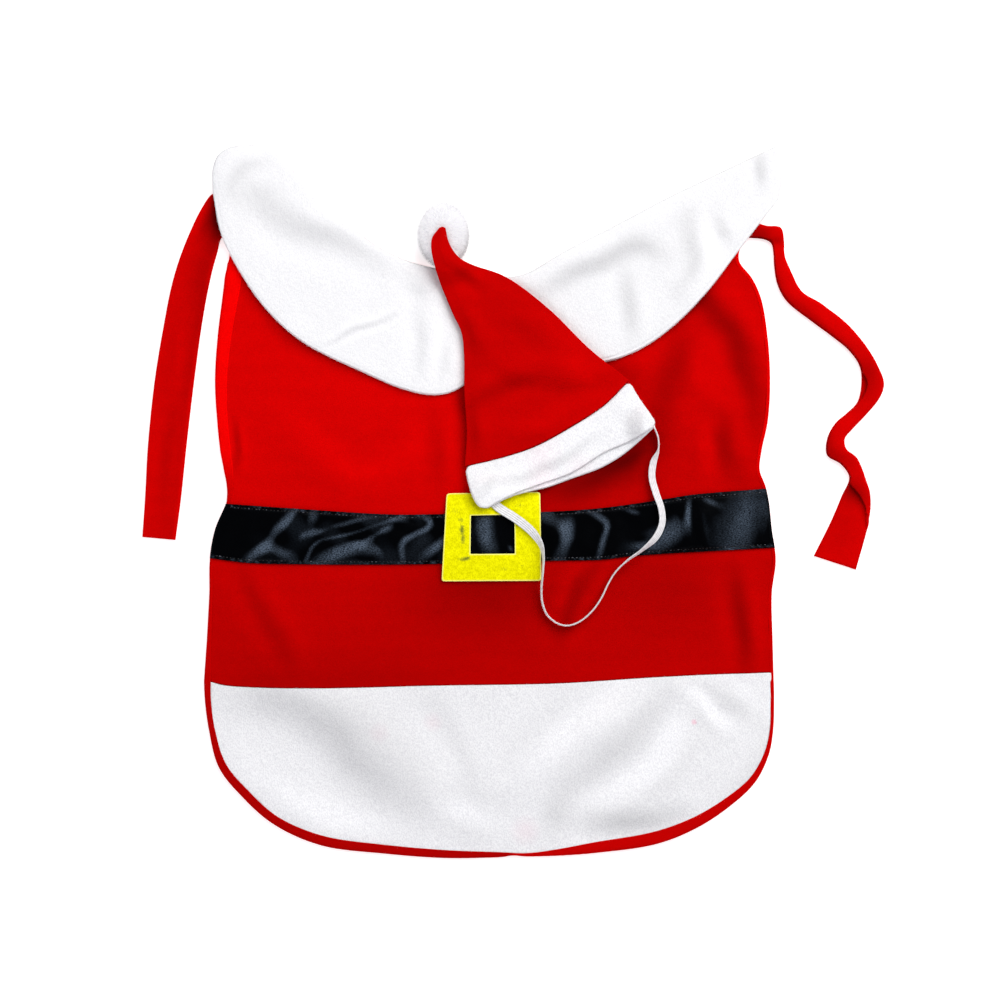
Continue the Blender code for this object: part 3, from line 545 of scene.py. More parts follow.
class CostumeColours(bpy.types.PropertyGroup):
    """Colours of the cloths."""

    red: colour("Red fleece", "Front, ties and hat", (0.6, 0.0, 0.0))
    lining: colour("Lining", "Lining and its rolled edge", (0.52, 0.0, 0.0))
    plush: colour("White plush", "Hem, collar, cuffs and pompom", (0.9, 0.895, 0.91))
    satin: colour("Black satin", "Belt", (0.0005, 0.0006, 0.001))
    felt: colour("Yellow felt", "Buckle", (0.97, 0.93, 0.002))
    elastic: colour("White elastic", "The hat's elastic", (0.93, 0.92, 0.94))


def spread(count, span=1.0, near=()):
    """Even fractions from 0 to 1, and one at each of these distances from both ends of a span."""
    inside = np.array(near) / span
    return np.unique(np.concatenate([np.linspace(0.0, 1.0, count + 1), inside, 1.0 - inside]))


def unit(vectors):
    """Vectors made one long."""
    return vectors / np.maximum(np.linalg.norm(vectors, axis=-1, keepdims=True), 1e-9)


def travelled(points, axis=0):
    """How far along its line each point is, for a line of points or for each line of a grid."""
    start = np.take(points, [0], axis=axis)
    return np.linalg.norm(np.diff(points, axis=axis, prepend=start), axis=-1).cumsum(axis=axis)


def bell(values, place=0.0, half=1.0):
    """1 at a place, falling smoothly to about 0 at twice this half width from it."""
    return np.exp(-(((values - place) / half) ** 2))


def past(values, place, soft):
    """0 well before a place and 1 well past it, or the other way round where soft is negative."""
    return 1 / (1 + np.exp(-(values - place) / soft))


def smooth(table, fractions, steps=24):
    """Points at these fractions of the length of a smooth curve through a table's rows."""
    knots = np.array(table, float)
    chords = np.linalg.norm(np.diff(knots[:, :2], axis=0), axis=1)
    times = np.concatenate([[0.0], np.cumsum(np.sqrt(chords))])
    slopes = np.gradient(knots, times, axis=0)
    s = np.linspace(0.0, 1.0, steps, endpoint=False)[:, None]
    curve = []
    for i, step in enumerate(np.diff(times)):
        start = (2 * s**3 - 3 * s**2 + 1) * knots[i] + (s**3 - 2 * s**2 + s) * step * slopes[i]
        end = (3 * s**2 - 2 * s**3) * knots[i + 1] + (s**3 - s**2) * step * slopes[i + 1]
        curve.append(start + end)
    curve = np.vstack(curve + [knots[-1:]])
    lengths = travelled(curve[:, :2])
    return along_line(curve, lengths, np.array(fractions) * lengths[-1])


def along_line(line, lengths, stations):
    """The places at these distances along a line, given how far along it each of its points is."""
    return np.stack([np.interp(stations, lengths, column) for column in line.T], axis=1)


def patch(top, foot, left, right, across, down):
    """A grid of points that fills four edge curves. Top and foot run left to right, the sides top to foot."""
    u = across[None, :, None]
    v = down[:, None, None]
    ends = (1 - u) * ((1 - v) * top[0] + v * foot[0]) + u * ((1 - v) * top[-1] + v * foot[-1])
    return (1 - v) * top[None] + v * foot[None] + (1 - u) * left[:, None] + u * right[:, None] - ends


def side(column, y_from, y_to, down):
    """Points of one side edge of the cape between two heights. The column is one of CAPE_SECTIONS."""
    curve = smooth([(row[column], row[0]) for row in CAPE_SECTIONS], spread(400))[::-1]
    y = y_from + (y_to - y_from) * down
    return np.stack([np.interp(y, curve[:, 1], curve[:, 0]), y], axis=1)


def nearest(points, route):
    """For each point: its offset from the nearest place on a route, the way across to the light, and how far
    along the route that place is, from 0 to 1."""
    route = np.array(route, float)
    pieces = np.diff(route, axis=0)
    lengths = np.linalg.norm(pieces, axis=1)
    whole = route[-1] - route[0]
    way = np.sign(np.array((-whole[1], whole[0])) @ LIGHT_WAY)
    found = None
    for start, piece, span, before in zip(route, pieces, lengths, np.cumsum(lengths) - lengths):
        place = np.clip(((points - start) @ piece) / span**2, 0.0, 1.0)[..., None]
        offset = points - start - place * piece
        across = np.broadcast_to(way * np.array((-piece[1], piece[0])) / span, offset.shape)
        share = (before + place * span) / lengths.sum()
        if found is None:
            found = [offset, across, share]
            continue
        closer = (offset**2).sum(axis=-1) < (found[0] ** 2).sum(axis=-1)
        found = [np.where(closer[..., None], new, old) for new, old in zip((offset, across, share), found)]
    return found


def ridges(points, table):
    """Height of soft ridges over points."""
    height = np.zeros(points.shape[:-1])
    for x1, y1, x2, y2, rise, half in table:
        offset = nearest(points, ((x1, y1), (x2, y2)))[0]
        height += rise * np.exp(-(offset**2).sum(axis=-1) / half**2)
    return height


def bands(points, table, wander=1.5):
    """For each band of a table: its half width, and at each point its rise, place across and distance away.

    The place and the distance are in half widths. A band wanders a little and is weaker at its ends.
    """
    points = points + wander * np.stack([lumps(points, 16, 7), lumps(points, 16, 8)], axis=-1)
    for rise, half, *route in table:
        if len(route) > 2:
            route = smooth(route, spread(3 * len(route)))
        offset, across, share = nearest(points, route)
        place = (offset * across).sum(axis=-1) / half
        away = np.linalg.norm(offset, axis=-1) / half
        yield half, rise * np.sin(math.pi * (0.12 + 0.76 * share[..., 0])), place, away


def rolls(points, table):
    """Height of the bands of a table over points. Each stands on a low swell, and so stays above its base."""
    height = np.zeros(points.shape[:-1])
    for _, rise, place, away in bands(points, table):
        height += rise * place * bell(away) + 0.43 * np.abs(rise) * bell(away, half=2.2)
    return height


def slope(points, table):
    """How steeply the bands of a table turn from the light at points, or to it where it is negative."""
    steepness = np.zeros(points.shape[:-1])
    for half, rise, place, away in bands(points, table):
        steepness += rise / half * (1 - 2 * place**2) * bell(away)
    return steepness


def painted_fold_shading(points, table, depth):
    """Painted shade for points: darker where the bands of a table turn from the light, as cloth is in a
    hollow, and a little lighter where they turn to it.
    """
    return 1.0 - depth * np.clip(slope(points, table), -0.12, 0.5)


def shaded(points, table):
    """A tone for points with painted shade along the routes of a table."""
    tone = np.ones(points.shape[:-1])
    for _, strength, _, away in bands(points, table):
        tone *= 1 - strength * bell(away)
    return tone


def lumps(points, size, seed):
    """Soft random heights from -1 to 1 over flat points, about this far apart."""
    count = 64
    table = np.random.default_rng(seed).uniform(-1.0, 1.0, (count, count))
    turned = points @ np.array(((0.8, 0.6), (-0.6, 0.8))) / size
    cell = np.floor(turned).astype(int)
    part = turned - cell
    a, b = np.moveaxis(part * part * (3 - 2 * part), -1, 0)
    i, j = np.moveaxis(cell % count, -1, 0)
    i1, j1 = (i + 1) % count, (j + 1) % count
    low = (1 - a) * table[i, j] + a * table[i1, j]
    high = (1 - a) * table[i, j1] + a * table[i1, j1]
    return (1 - b) * low + b * high


def settled(height, soft=0.3):
    """Heights that are never below zero, where cloth lies on what is under it."""
    return soft * np.logaddexp(0.0, height / soft)


def distance_to(points, line):
    """How far points are from a dense line of points."""
    flat = points.reshape(-1, points.shape[-1])
    near = [
        np.linalg.norm(part[:, None] - line[None], axis=2).min(axis=1)
        for part in np.array_split(flat, 40)
    ]
    return np.concatenate(near).reshape(points.shape[:-1])


def padded_edge(inside, width, least):
    """Share of its full height that a padded layer has this far inside its edge, where it has the least."""
    outside = 1 - np.clip(inside / width, 0.0, 1.0)
    return least + (1 - least) * np.sqrt(1 - outside**2)


def eased(flat, radius):
    """A flat grid whose four corners are drawn in to arcs of this radius."""
    drawn = flat.copy()
    inward = []
    for axis in (1, 0):
        place = travelled(flat, axis)
        whole = np.take(place, [-1], axis=axis)
        along = np.gradient(flat, axis=axis)
        along *= np.sign(whole / 2 - place)[..., None] / np.linalg.norm(along, axis=2, keepdims=True)
        inward.append((np.clip(1 - np.minimum(place, whole - place) / radius, 0, 1), along))
    for (near, along), (other, _) in (inward, inward[::-1]):
        drawn += (radius * near * (1 - np.sqrt(1 - other**2 / 2)))[..., None] * along
    return drawn


def lifted(flat, height):
    """The points of a flat grid with these heights."""
    return np.concatenate([flat, np.broadcast_to(height, flat.shape[:-1])[..., None]], axis=-1)


def heightened(grid, height):
    """A grid whose points are this much higher."""
    return grid + np.asarray(height)[..., None] * (0, 0, 1)


def raised(grid, distance):
    """A grid moved straight up until it is this far from where it was, square to its surface."""
    normals = np.cross(np.gradient(grid, axis=1), -np.gradient(grid, axis=0))
    steepness = np.linalg.norm(normals, axis=-1) / np.maximum(normals[..., 2], 1e-6)
    return heightened(grid, distance * np.minimum(steepness, 2.0))


def placed(piece, finish, *nodes):
    """Gives a piece its finish and its place in the model, where it stands for these nodes."""
    piece.data.materials.append(finishes()[finish])
    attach(piece, "root")
    if nodes:
        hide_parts(*nodes)
    return piece


def finish_piece(mesh, finish, *nodes):
    """Links a finished mesh as a piece of the costume that stands for these nodes of the model."""
    piece = bpy.data.objects.new(mesh.name, mesh)
    bpy.context.scene.collection.objects.link(piece)
    return placed(piece, finish, *nodes)


def set_tone(mesh, tone):
    """Keeps a tone for each point, which the finishes multiply their colour by. It holds painted light and
    shade, with colour of the piece's own.
    """
    mesh.attributes.new("tone", "FLOAT", "POINT").data.foreach_set("value", np.ravel(tone))


def band_faces(low, high):
    """Four-sided faces between two rings of point numbers."""
    return np.stack([low, high, np.roll(high, -1), np.roll(low, -1)], axis=1)


def tube_faces(rings):
    """Faces of a tube through rings of point numbers: one over each end, and those between the rings."""
    sides = [band_faces(low, high) for low, high in zip(rings, rings[1:])]
    return [rings[0], rings[-1][::-1], *np.concatenate(sides)]


def mesh_of(name, points, faces, around=None, tone=None, smooth_shaded=True):
    """A mesh from points in millimetres, with an optional UV place and tone for each of them."""
    mesh = bpy.data.meshes.new(name)
    mesh.from_pydata((points * MM).tolist(), [], [face.tolist() for face in faces])
    if around is not None:
        corners = np.empty(len(mesh.loops), np.int32)
        mesh.loops.foreach_get("vertex_index", corners)
        mesh.uv_layers.new(name="along").data.foreach_set("uv", (around[corners] * MM).ravel())
    if tone is not None:
        set_tone(mesh, tone)
    shape = bmesh.new()
    shape.from_mesh(mesh)
    bmesh.ops.recalc_face_normals(shape, faces=shape.faces)
    shape.to_mesh(mesh)
    shape.free()
    if smooth_shaded:
        mesh.shade_smooth()
    return mesh


def cloth(name, low, high, tone=None, bulge=0.5, turn=4, loop=False):
    """A closed cloth between two grids of points, with rounded edges.

    The grids' rows run from the top down and their columns from left to right, or round a loop.
    """
    rows, columns = low.shape[:2]
    cells = np.arange(rows * columns).reshape(rows, columns)
    if loop:
        wrapped = np.concatenate([cells, cells[:, :1]], axis=1)
        rings = [(cells[0], cells[1]), (cells[-1][::-1], cells[-2][::-1])]
    else:
        wrapped = cells
        ring = np.concatenate([cells[0], cells[1:, -1], cells[-1, :-1][::-1], cells[1:-1, 0][::-1]])
        inner = np.clip(ring // columns, 1, rows - 2) * columns + np.clip(ring % columns, 1, columns - 2)
        rings = [(ring, inner)]
    quads = np.stack([wrapped[:-1, :-1], wrapped[1:, :-1], wrapped[1:, 1:], wrapped[:-1, 1:]], axis=-1)
    quads = quads.reshape(-1, 4)
    below, above = low.reshape(-1, 3).copy(), high.reshape(-1, 3).copy()
    around = np.stack([travelled(high, 1), travelled(high)], axis=-1).reshape(-1, 2)
    tone = np.ones(rows * columns) if tone is None else np.ravel(tone)
    points, faces = [below, above], [quads[:, ::-1], quads + rows * columns]
    places, tones = [around, around], [tone, tone]
    count = 2 * rows * columns
    for ring, inner in rings:
        middle, half = (above[ring] + below[ring]) / 2, (above[ring] - below[ring]) / 2
        out = middle - (above[inner] + below[inner]) / 2
        up = unit(half)
        out = unit(out - up * (out * up).sum(axis=1, keepdims=True))
        middle -= out * bulge
        below[ring], above[ring] = middle - half, middle + half
        layers = [ring]
        for k in range(1, turn):
            angle = math.pi * (k / turn - 0.5)
            points.append(middle + half * math.sin(angle) + out * bulge * math.cos(angle))
            places.append(around[ring])
            tones.append(tone[ring])
            layers.append(np.arange(count, count + len(ring)))
            count += len(ring)
        layers.append(ring + rows * columns)
        for a, b in zip(layers, layers[1:]):
            faces.append(band_faces(a, b))
    points, faces, places, tones = (np.concatenate(parts) for parts in (points, faces, places, tones))
    return mesh_of(name, points, faces, places, tones)


class Drape:
    """The height at which cloth lies over pieces that are already in place."""

    PITCH = 2.0
    TOP = 80.0
    MARGIN = 6.0

    def __init__(self, pieces, over, reach, soften):
        """Heights round these points. Each height covers all within reach, and is softened."""
        low, high = np.min(over, axis=0) - self.MARGIN, np.max(over, axis=0) + self.MARGIN
        bpy.context.view_layer.update()
        depsgraph = bpy.context.evaluated_depsgraph_get()
        trees = [BVHTree.FromObject(bpy.data.objects[piece], depsgraph) for piece in pieces]
        self.x = np.arange(low[0], high[0] + self.PITCH, self.PITCH)
        self.y = np.arange(low[1], high[1] + self.PITCH, self.PITCH)
        bare = np.array([[self.below(trees, x, y) for x in self.x] for y in self.y])
        self.height = self.spaced(bare, reach + soften, np.maximum.reduce)
        self.height = self.spaced(self.height, soften, lambda layers: np.mean(layers, axis=0))

    def below(self, trees, x, y):
        start = Vector((x, y, self.TOP)) * MM
        hits = [tree.ray_cast(start, Vector((0, 0, -1)))[0] for tree in trees]
        return max([hit.z / MM for hit in hits if hit], default=0.0)

    def spaced(self, field, radius, combine):
        """Combines each height with those around it."""
        reach = int(math.ceil(radius / self.PITCH))
        padded = np.pad(field, reach, mode="edge")
        rows, columns = field.shape
        return combine(
            [
                padded[reach + j : reach + j + rows, reach + i : reach + i + columns]
                for j in range(-reach, reach + 1)
                for i in range(-reach, reach + 1)
                if i * i + j * j <= reach * reach
            ]
        )

    def __call__(self, points):
        """Heights over points, from the four nearest of the field."""
        i = np.clip((points[..., 0] - self.x[0]) / self.PITCH, 0, len(self.x) - 1.001)
        j = np.clip((points[..., 1] - self.y[0]) / self.PITCH, 0, len(self.y) - 1.001)
        i0, j0 = i.astype(int), j.astype(int)
        a, b = i - i0, j - j0
        low = (1 - a) * self.height[j0, i0] + a * self.height[j0, i0 + 1]
        high = (1 - a) * self.height[j0 + 1, i0] + a * self.height[j0 + 1, i0 + 1]
        return (1 - b) * low + b * high


def scatter(piece, spacing, seed, lowest=-0.2):
    """Random places on a piece's upper surface, in millimetres, with the directions it faces there."""
    mesh = piece.data
    mesh.calc_loop_triangles()
    points, normals = (np.empty(3 * len(mesh.vertices), np.float32) for _ in range(2))
    corners = np.empty(3 * len(mesh.loop_triangles), np.int32)
    mesh.vertices.foreach_get("co", points)
    mesh.vertices.foreach_get("normal", normals)
    mesh.loop_triangles.foreach_get("vertices", corners)
    points, normals, corners = points.reshape(-1, 3) / MM, normals.reshape(-1, 3), corners.reshape(-1, 3)
    first, second, third = points[corners.T]
    face_ups = np.cross(second - first, third - first)
    areas = np.linalg.norm(face_ups, axis=1) / 2
    areas[face_ups[:, 2] < lowest * 2 * areas] = 0.0
    source = np.random.default_rng(seed)
    count = int(areas.sum() / spacing**2)
    chosen = corners[source.choice(len(areas), count, p=areas / areas.sum())]
    weights = source.dirichlet((1.0, 1.0, 1.0), count)[..., None]
    return (points[chosen] * weights).sum(axis=1), unit((normals[chosen] * weights).sum(axis=1))


def fibres(name, feet, facing, reach, lean, thick, seed, tone=None):
    """Slim three-sided spikes that stand on these feet and lean at random."""
    source = np.random.default_rng(seed)
    aside = source.normal(0.0, 1.0, feet.shape)
    aside -= facing * (aside * facing).sum(axis=1, keepdims=True)
    way = unit(facing + lean * aside)
    tips = feet + way * reach * source.uniform(0.55, 1.0, (len(feet), 1))
    first = unit(np.cross(way, aside))
    second = np.cross(way, first)
    turns = [2 * math.pi * k / 3 for k in range(3)]
    ring = [feet + thick * (math.cos(turn) * first + math.sin(turn) * second) for turn in turns]
    points = np.stack([*ring, tips], axis=1).reshape(-1, 3)
    start = 4 * np.arange(len(feet))[:, None]
    faces = np.concatenate([start + corner for corner in ((0, 1, 3), (1, 2, 3), (2, 0, 3), (0, 2, 1))])
    if tone is not None:
        tone = np.repeat(tone, 4)
    return mesh_of(name, points, faces, tone=tone, smooth_shaded=False)


def plush_pile(piece, sizes, seed):
    """The short pile of a plush piece, as a piece of its own."""
    feet, facing = scatter(piece, sizes.pile_spacing / MM, seed)
    mesh = fibres(piece.name + "_pile", feet, facing, sizes.pile / MM, 1.3, 0.05, seed)
    pile = finish_piece(mesh, "pile")
    pile.visible_shadow = False
    return pile


def stitches(name, line, stitch, seed):
    """A row of short raised stitches along a line of points."""
    girths = (0.12, 0.3, 0.36, 0.3, 0.12)
    turns = np.arange(6) * math.pi / 3
    lengths = travelled(line)
    pitch = stitch * 1.6
    source = np.random.default_rng(seed)
    points, faces = [], []
    count = int(lengths[-1] / pitch)
    tone = np.repeat(2.2 * source.uniform(0.1, 1.0, count) ** 4, len(girths) * len(turns))
    for k in range(count):
        ends = k * pitch + np.sort(source.uniform((0.0, 0.7), (0.4, 1.2))) * stitch
        middle = along_line(line, lengths, np.linspace(*ends, len(girths)))
        along = unit(middle[-1] - middle[0])
        across = np.cross((0, 0, 1), along)
        up = np.cross(along, across)
        rings = np.arange(len(girths) * len(turns)).reshape(len(girths), -1) + len(points)
        for place, girth in zip(middle, girths):
            for turn in turns:
                points.append(place + girth * (math.cos(turn) * across + 0.8 * math.sin(turn) * up))
        faces += tube_faces(rings)
    return mesh_of(name, np.array(points), faces, tone=tone)


class Value:
    """An output of a shader node, which sums may be written with."""

    def __init__(self, shader, socket):
        self.shader = shader
        self.socket = socket

    def math(self, operation, other):
        inputs = {"Value": self, "Value_001": other}
        return self.shader.node("ShaderNodeMath", {"operation": operation}, inputs)

    def __add__(self, other):
        return self.math("ADD", other)

    def __sub__(self, other):
        return self.math("SUBTRACT", other)

    def __mul__(self, other):
        return self.math("MULTIPLY", other)

    __radd__ = __add__
    __rmul__ = __mul__


class Shader:
    """A material and the nodes it is made with."""

    def __init__(self, name, **plain):
        """Plain values go to the Principled shader's own sockets, with _ in their names for a space."""
        self.material = bpy.data.materials.new(name)
        self.material.use_nodes = True
        self.tree = self.material.node_tree
        self.surface = self.tree.nodes["Principled BSDF"]
        for socket, value in plain.items():
            self.surface.inputs[socket.replace("_", " ")].default_value = value

    def node(self, kind, settings=None, inputs=None, output=None):
        """Adds a node, makes its settings first, then fills its sockets with values or links."""
        node = self.tree.nodes.new(kind)
        for key, value in (settings or {}).items():
            setattr(node, key, value)
        for key, value in (inputs or {}).items():
            socket = next(s for s in node.inputs if key in (s.identifier, s.name))
            if isinstance(value, Value):
                self.tree.links.new(value.socket, socket)
            else:
                socket.default_value = value
        found = next(s for s in node.outputs if output is None or output in (s.identifier, s.name))
        return Value(self, found)

    def place(self, scale=(1.0, 1.0, 1.0), source="Object"):
        """Object coordinates or the piece's own UV map, in metres, scaled."""
        place = self.node("ShaderNodeTexCoord", output=source)
        return self.node("ShaderNodeMapping", {}, {"Vector": place, "Scale": scale})

    def noise(self, size, place=None, detail=2.0):
        """Noise whose grains are about this many millimetres wide."""
        inputs = {"Vector": place or self.place(), "Scale": 1.0 / (size * MM), "Detail": detail}
        return self.node("ShaderNodeTexNoise", {}, inputs)

    def rows(self, size, place, waver):
        """Rows along X, this many millimetres apart, that waver."""
        settings = {"wave_type": "BANDS", "bands_direction": "Y"}
        inputs = {"Vector": place, "Scale": 1.0 / (20 * size * MM), "Distortion": waver}
        return self.node("ShaderNodeTexWave", settings, inputs, "Fac")

    def between(self, value, low, high, start=0.0, end=1.0):
        """The value's range from low to high, made to run from start to end."""
        inputs = {"Value": value, "From Min": low, "From Max": high, "To Min": start, "To Max": end}
        return self.node("ShaderNodeMapRange", {"clamp": True}, inputs)

    def blend(self, factor, first, second, kind="MIX"):
        """One colour over another."""
        settings = {"data_type": "RGBA", "blend_type": kind}
        inputs = {"Factor_Float": factor, "A_Color": first, "B_Color": second}
        return self.node("ShaderNodeMix", settings, inputs, "Result_Color")

    def darkened(self, colour, shade):
        """A colour times a shade."""
        return self.blend(1.0, colour, shade, "MULTIPLY")

    def tone(self):
        """The tone painted on the piece's points, which holds painted light and shade as well as colour of
        its own.
        """
        return self.node("ShaderNodeAttribute", {"attribute_name": "tone"}, output="Fac")

    def finish(self, colour, roughness, height, depth):
        """Joins what varies over the surface to the shader. The height is raised by this many millimetres."""
        links = self.tree.links
        links.new(colour.socket, self.surface.inputs["Base Color"])
        if isinstance(roughness, Value):
            links.new(roughness.socket, self.surface.inputs["Roughness"])
        else:
            self.surface.inputs["Roughness"].default_value = roughness
        bump = self.node("ShaderNodeBump", {}, {"Height": height, "Distance": depth * MM})
        links.new(bump.socket, self.surface.inputs["Normal"])
        return self.material


def paint(colour):
    """A colour as a socket takes it."""
    return (*colour, 1.0)


def fleece(name, colour, sheen):
    """Brushed fleece: fine knit rows under a short nap, darker between its clumps."""
    shader = Shader(name, Specular_IOR_Level=0.02, Sheen_Weight=sheen, Sheen_Roughness=0.35)
    shader.surface.inputs["Sheen Tint"].default_value = (1.0, 0.02, 0.02, 1.0)
    clumps = shader.noise(5.0, detail=4.0)
    nap = shader.noise(0.7, shader.place((0.45, 1.0, 1.0)), 3.0)
    fuzz = shader.noise(0.22)
    rows = shader.rows(2.3, shader.place(), 3.5)
    shade = shader.tone() * (0.84 + 0.13 * clumps + 0.14 * nap + 0.025 * rows)
    base = shader.darkened(paint(colour), shade)
    return shader.finish(base, 0.92, nap * 0.5 + fuzz * 0.3 + rows * 0.2, 0.35)


def plush(name, colour, depth):
    """Short white pile: mottled tufts with painted shade between them, greyer and faintly violet, darker
    there by this depth.
    """
    shader = Shader(name, Specular_IOR_Level=0.12, Sheen_Weight=0.12, Sheen_Roughness=0.5)
    tufts = shader.noise(2.2, detail=3.0)
    hairs = shader.noise(0.7, shader.place((1.0, 0.6, 1.0)), 2.0)
    deep = shader.between(tufts * 0.15 + hairs * 0.85, 0.39, 0.59)
    shadow = tuple(c * (1 - depth * f) for c, f in zip(colour, (1.0, 1.02, 0.92)))
    base = shader.blend(deep, paint(shadow), paint(colour))
    place = shader.place()
    for x, y, z, radius, strength in PINK_MARKS:
        mark = {"Vector": place, "Vector_001": (x * MM, y * MM, z * MM)}
        away = shader.node("ShaderNodeVectorMath", {"operation": "DISTANCE"}, mark, "Value")
        edge = away + (hairs - 0.5) * (0.8 * radius * MM)
        pink = shader.between(edge, 0.3 * radius * MM, 1.3 * radius * MM, strength, 0.0)
        base = shader.blend(pink, base, (0.86, 0.26, 0.42, 1.0))
    base = shader.darkened(base, shader.tone())
    return shader.finish(base, 0.95, tufts * 0.6 + hairs * 0.4, 0.5)


def pile_finish(name, colour):
    """Fibres that are lit as the cloth under them is, all from above, so that none stands out."""
    shader = Shader(name, Specular_IOR_Level=0.1, Roughness=0.95)
    shade = shader.between(shader.noise(1.4, detail=1.0), 0.3, 0.7)
    base = shader.blend(shade, paint([c * 0.94 for c in colour]), paint(colour))
    shader.tree.links.new(base.socket, shader.surface.inputs["Base Color"])
    up = shader.node("ShaderNodeCombineXYZ", {}, {"Z": 1.0})
    shader.tree.links.new(up.socket, shader.surface.inputs["Normal"])
    return shader.material


def fluff(name, colour):
    """The pompom's long soft fibres, which glow a little of their own colour: painted light in place of light
    coming through them.
    """
    shader = Shader(name, Specular_IOR_Level=0.1, Emission_Strength=0.2)
    hairs = shader.noise(1.4, detail=1.0)
    base = shader.blend(shader.between(hairs, 0.3, 0.7), paint([c * 0.86 for c in colour]), paint(colour))
    base = shader.darkened(base, shader.tone())
    shader.tree.links.new(base.socket, shader.surface.inputs["Emission Color"])
    return shader.finish(base, 0.95, hairs, 0.05)


def satin(name, colour):
    """Satin ribbon: a smooth face of fine threads with a faint shine of its own, and a painted sheen where it
    turns to the light.
    """
    shader = Shader(name, Specular_IOR_Level=0.03)
    shader.surface.inputs["Specular Tint"].default_value = (0.8, 0.9, 1.0, 1.0)
    along = shader.place(source="UV")
    threads = shader.noise(0.4, shader.place((0.3, 1.0, 1.0), "UV"), 1.0)
    sparkle = shader.noise(0.8, along, 1.0)
    ripple = shader.noise(7.0, along, 2.0)
    speckle = shader.between(sparkle * 0.4 + threads * 0.6, 0.42, 0.58, 0.12, 1.14)
    # The tone paints the sheen: it blends the black towards this blue-grey highlight colour, speckled.
    base = shader.blend(shader.tone() * speckle, paint(colour), (0.077, 0.103, 0.143, 1.0))
    roughness = shader.between(sparkle * 0.7 + ripple * 0.3, 0.38, 0.62, 0.33, 0.42)
    return shader.finish(base, roughness, threads * 0.3 + sparkle * 0.7, 0.09)


def felt(name, colour):
    """Needled felt, mottled, with darker stains where glue came through, and paler along its edges."""
    shader = Shader(name, Specular_IOR_Level=0.02)
    blotches = shader.noise(3.2, detail=3.0)
    wool = shader.noise(0.7, shader.place((1.0, 0.6, 1.0)), 3.0)
    mottled = shader.between(blotches * 0.4 + wool * 0.6, 0.38, 0.6)
    base = shader.blend(mottled, paint((colour[0] * 0.74, colour[1] * 0.72, 0.0)), paint(colour))
    base = shader.blend(shader.between(shader.tone(), 1.2, 1.9), base, (0.98, 0.93, 0.22, 1.0))
    stain = shader.between(shader.tone() + (wool - 0.5) * 0.7, 0.2, 0.85)
    base = shader.blend(stain, (0.2, 0.22, 0.02, 1.0), base)
    return shader.finish(base, 0.9, wool * 0.7 + blotches * 0.3, 0.35)


def ribbed(name, colour):
    """Knitted elastic with fine rungs across its ribs."""
    shader = Shader(name, Specular_IOR_Level=0.3)
    rungs = shader.rows(0.7, shader.place(source="UV"), 0.6)
    grain = shader.noise(0.5)
    shade = shader.tone() * (0.9 + 0.06 * rungs + 0.06 * grain)
    base = shader.darkened(paint(colour), shade)
    return shader.finish(base, 0.6, rungs * 0.7 + grain * 0.3, 0.15)


def thread(name, colour):
    """Sewing thread with a twist."""
    shader = Shader(name, Specular_IOR_Level=0.4)
    twist = shader.noise(0.3)
    base = shader.darkened(paint(colour), shader.tone() * (0.7 + 0.6 * twist))
    return shader.finish(base, 0.55, twist, 0.1)


def finishes():
    """The costume's materials, made once."""
    colours = bpy.context.scene.costume_colours
    recipes = {
        "fleece": (fleece, colours.red, 0.12),
        "lining": (fleece, colours.lining, 0.1),
        "plush": (plush, colours.plush, 0.155),
        "collar": (plush, colours.plush, 0.08),
        "pile": (pile_finish, colours.plush),
        "fluff": (fluff, [c * 1.02 for c in colours.plush]),
        "satin": (satin, colours.satin),
        "felt": (felt, colours.felt),
        "elastic": (ribbed, colours.elastic),
        "thread": (thread, (0.04, 0.042, 0.05)),
    }
    return {
        name: bpy.data.materials.get(name) or make(name, tuple(colour), *more)
        for name, (make, colour, *more) in recipes.items()
    }


def stretch(top, foot, columns, down):
    """A flat grid of the front between two of its curves, whose ends move to the side edges."""
    left = side(FRONT_LEFT, top[0, 1], foot[0, 1], down)
    right = side(FRONT_RIGHT, top[-1, 1], foot[-1, 1], down)
    top, foot = top.copy(), foot.copy()
    top[0], top[-1], foot[0], foot[-1] = left[0], right[0], left[-1], right[-1]
    return patch(top, foot, left, right, columns, down)


def panel_grid():
    """A flat grid of the front, from the neck to the hem's seam."""
    columns = spread(180, 373, (1.0,))
    neck, seam = smooth(NECK_EDGE, columns), smooth(HEM_SEAM, columns)
    return stretch(neck, seam, columns, spread(172, 350, (1.0,)))


def hem_grid():
    """A flat grid of the hem band, a gap below the front."""
    columns = spread(180, 371, (0.9,))
    seam = smooth(HEM_SEAM, columns)
    ends = stretch(seam + (0, 1), seam, columns, spread(2))[-1]
    top = ends - (0, GAP)
    edge = np.array(HEM_EDGE)[:, :2]
    edge[0], edge[-1] = top[0], top[-1]
    down = spread(58, 110, (0.9,))
    left = smooth(edge, HEM_CORNER * down)
    right = smooth(edge, 1 - HEM_CORNER * down)
    foot = smooth(edge, HEM_CORNER + (1 - 2 * HEM_CORNER) * columns)
    return patch(top, foot, left, right, columns, down)


def front_height(points):
    """Underside of the cape's front layer over the lining."""
    folds = ridges(points, FOLDS) + rolls(points, FRONT_ROLLS) + rolls(points, HEM_ROLLS)
    return SEAM_LIFT + settled(folds + 0.35 * lumps(points, 42, 1) + 0.12 * lumps(points, 13, 2))


def outward(ring):
    """Outward directions at the points of a flat ring that runs clockwise."""
    along = np.roll(ring, -1, axis=0) - np.roll(ring, 1, axis=0)
    return unit(np.stack([-along[:, 1], along[:, 0]], axis=1))


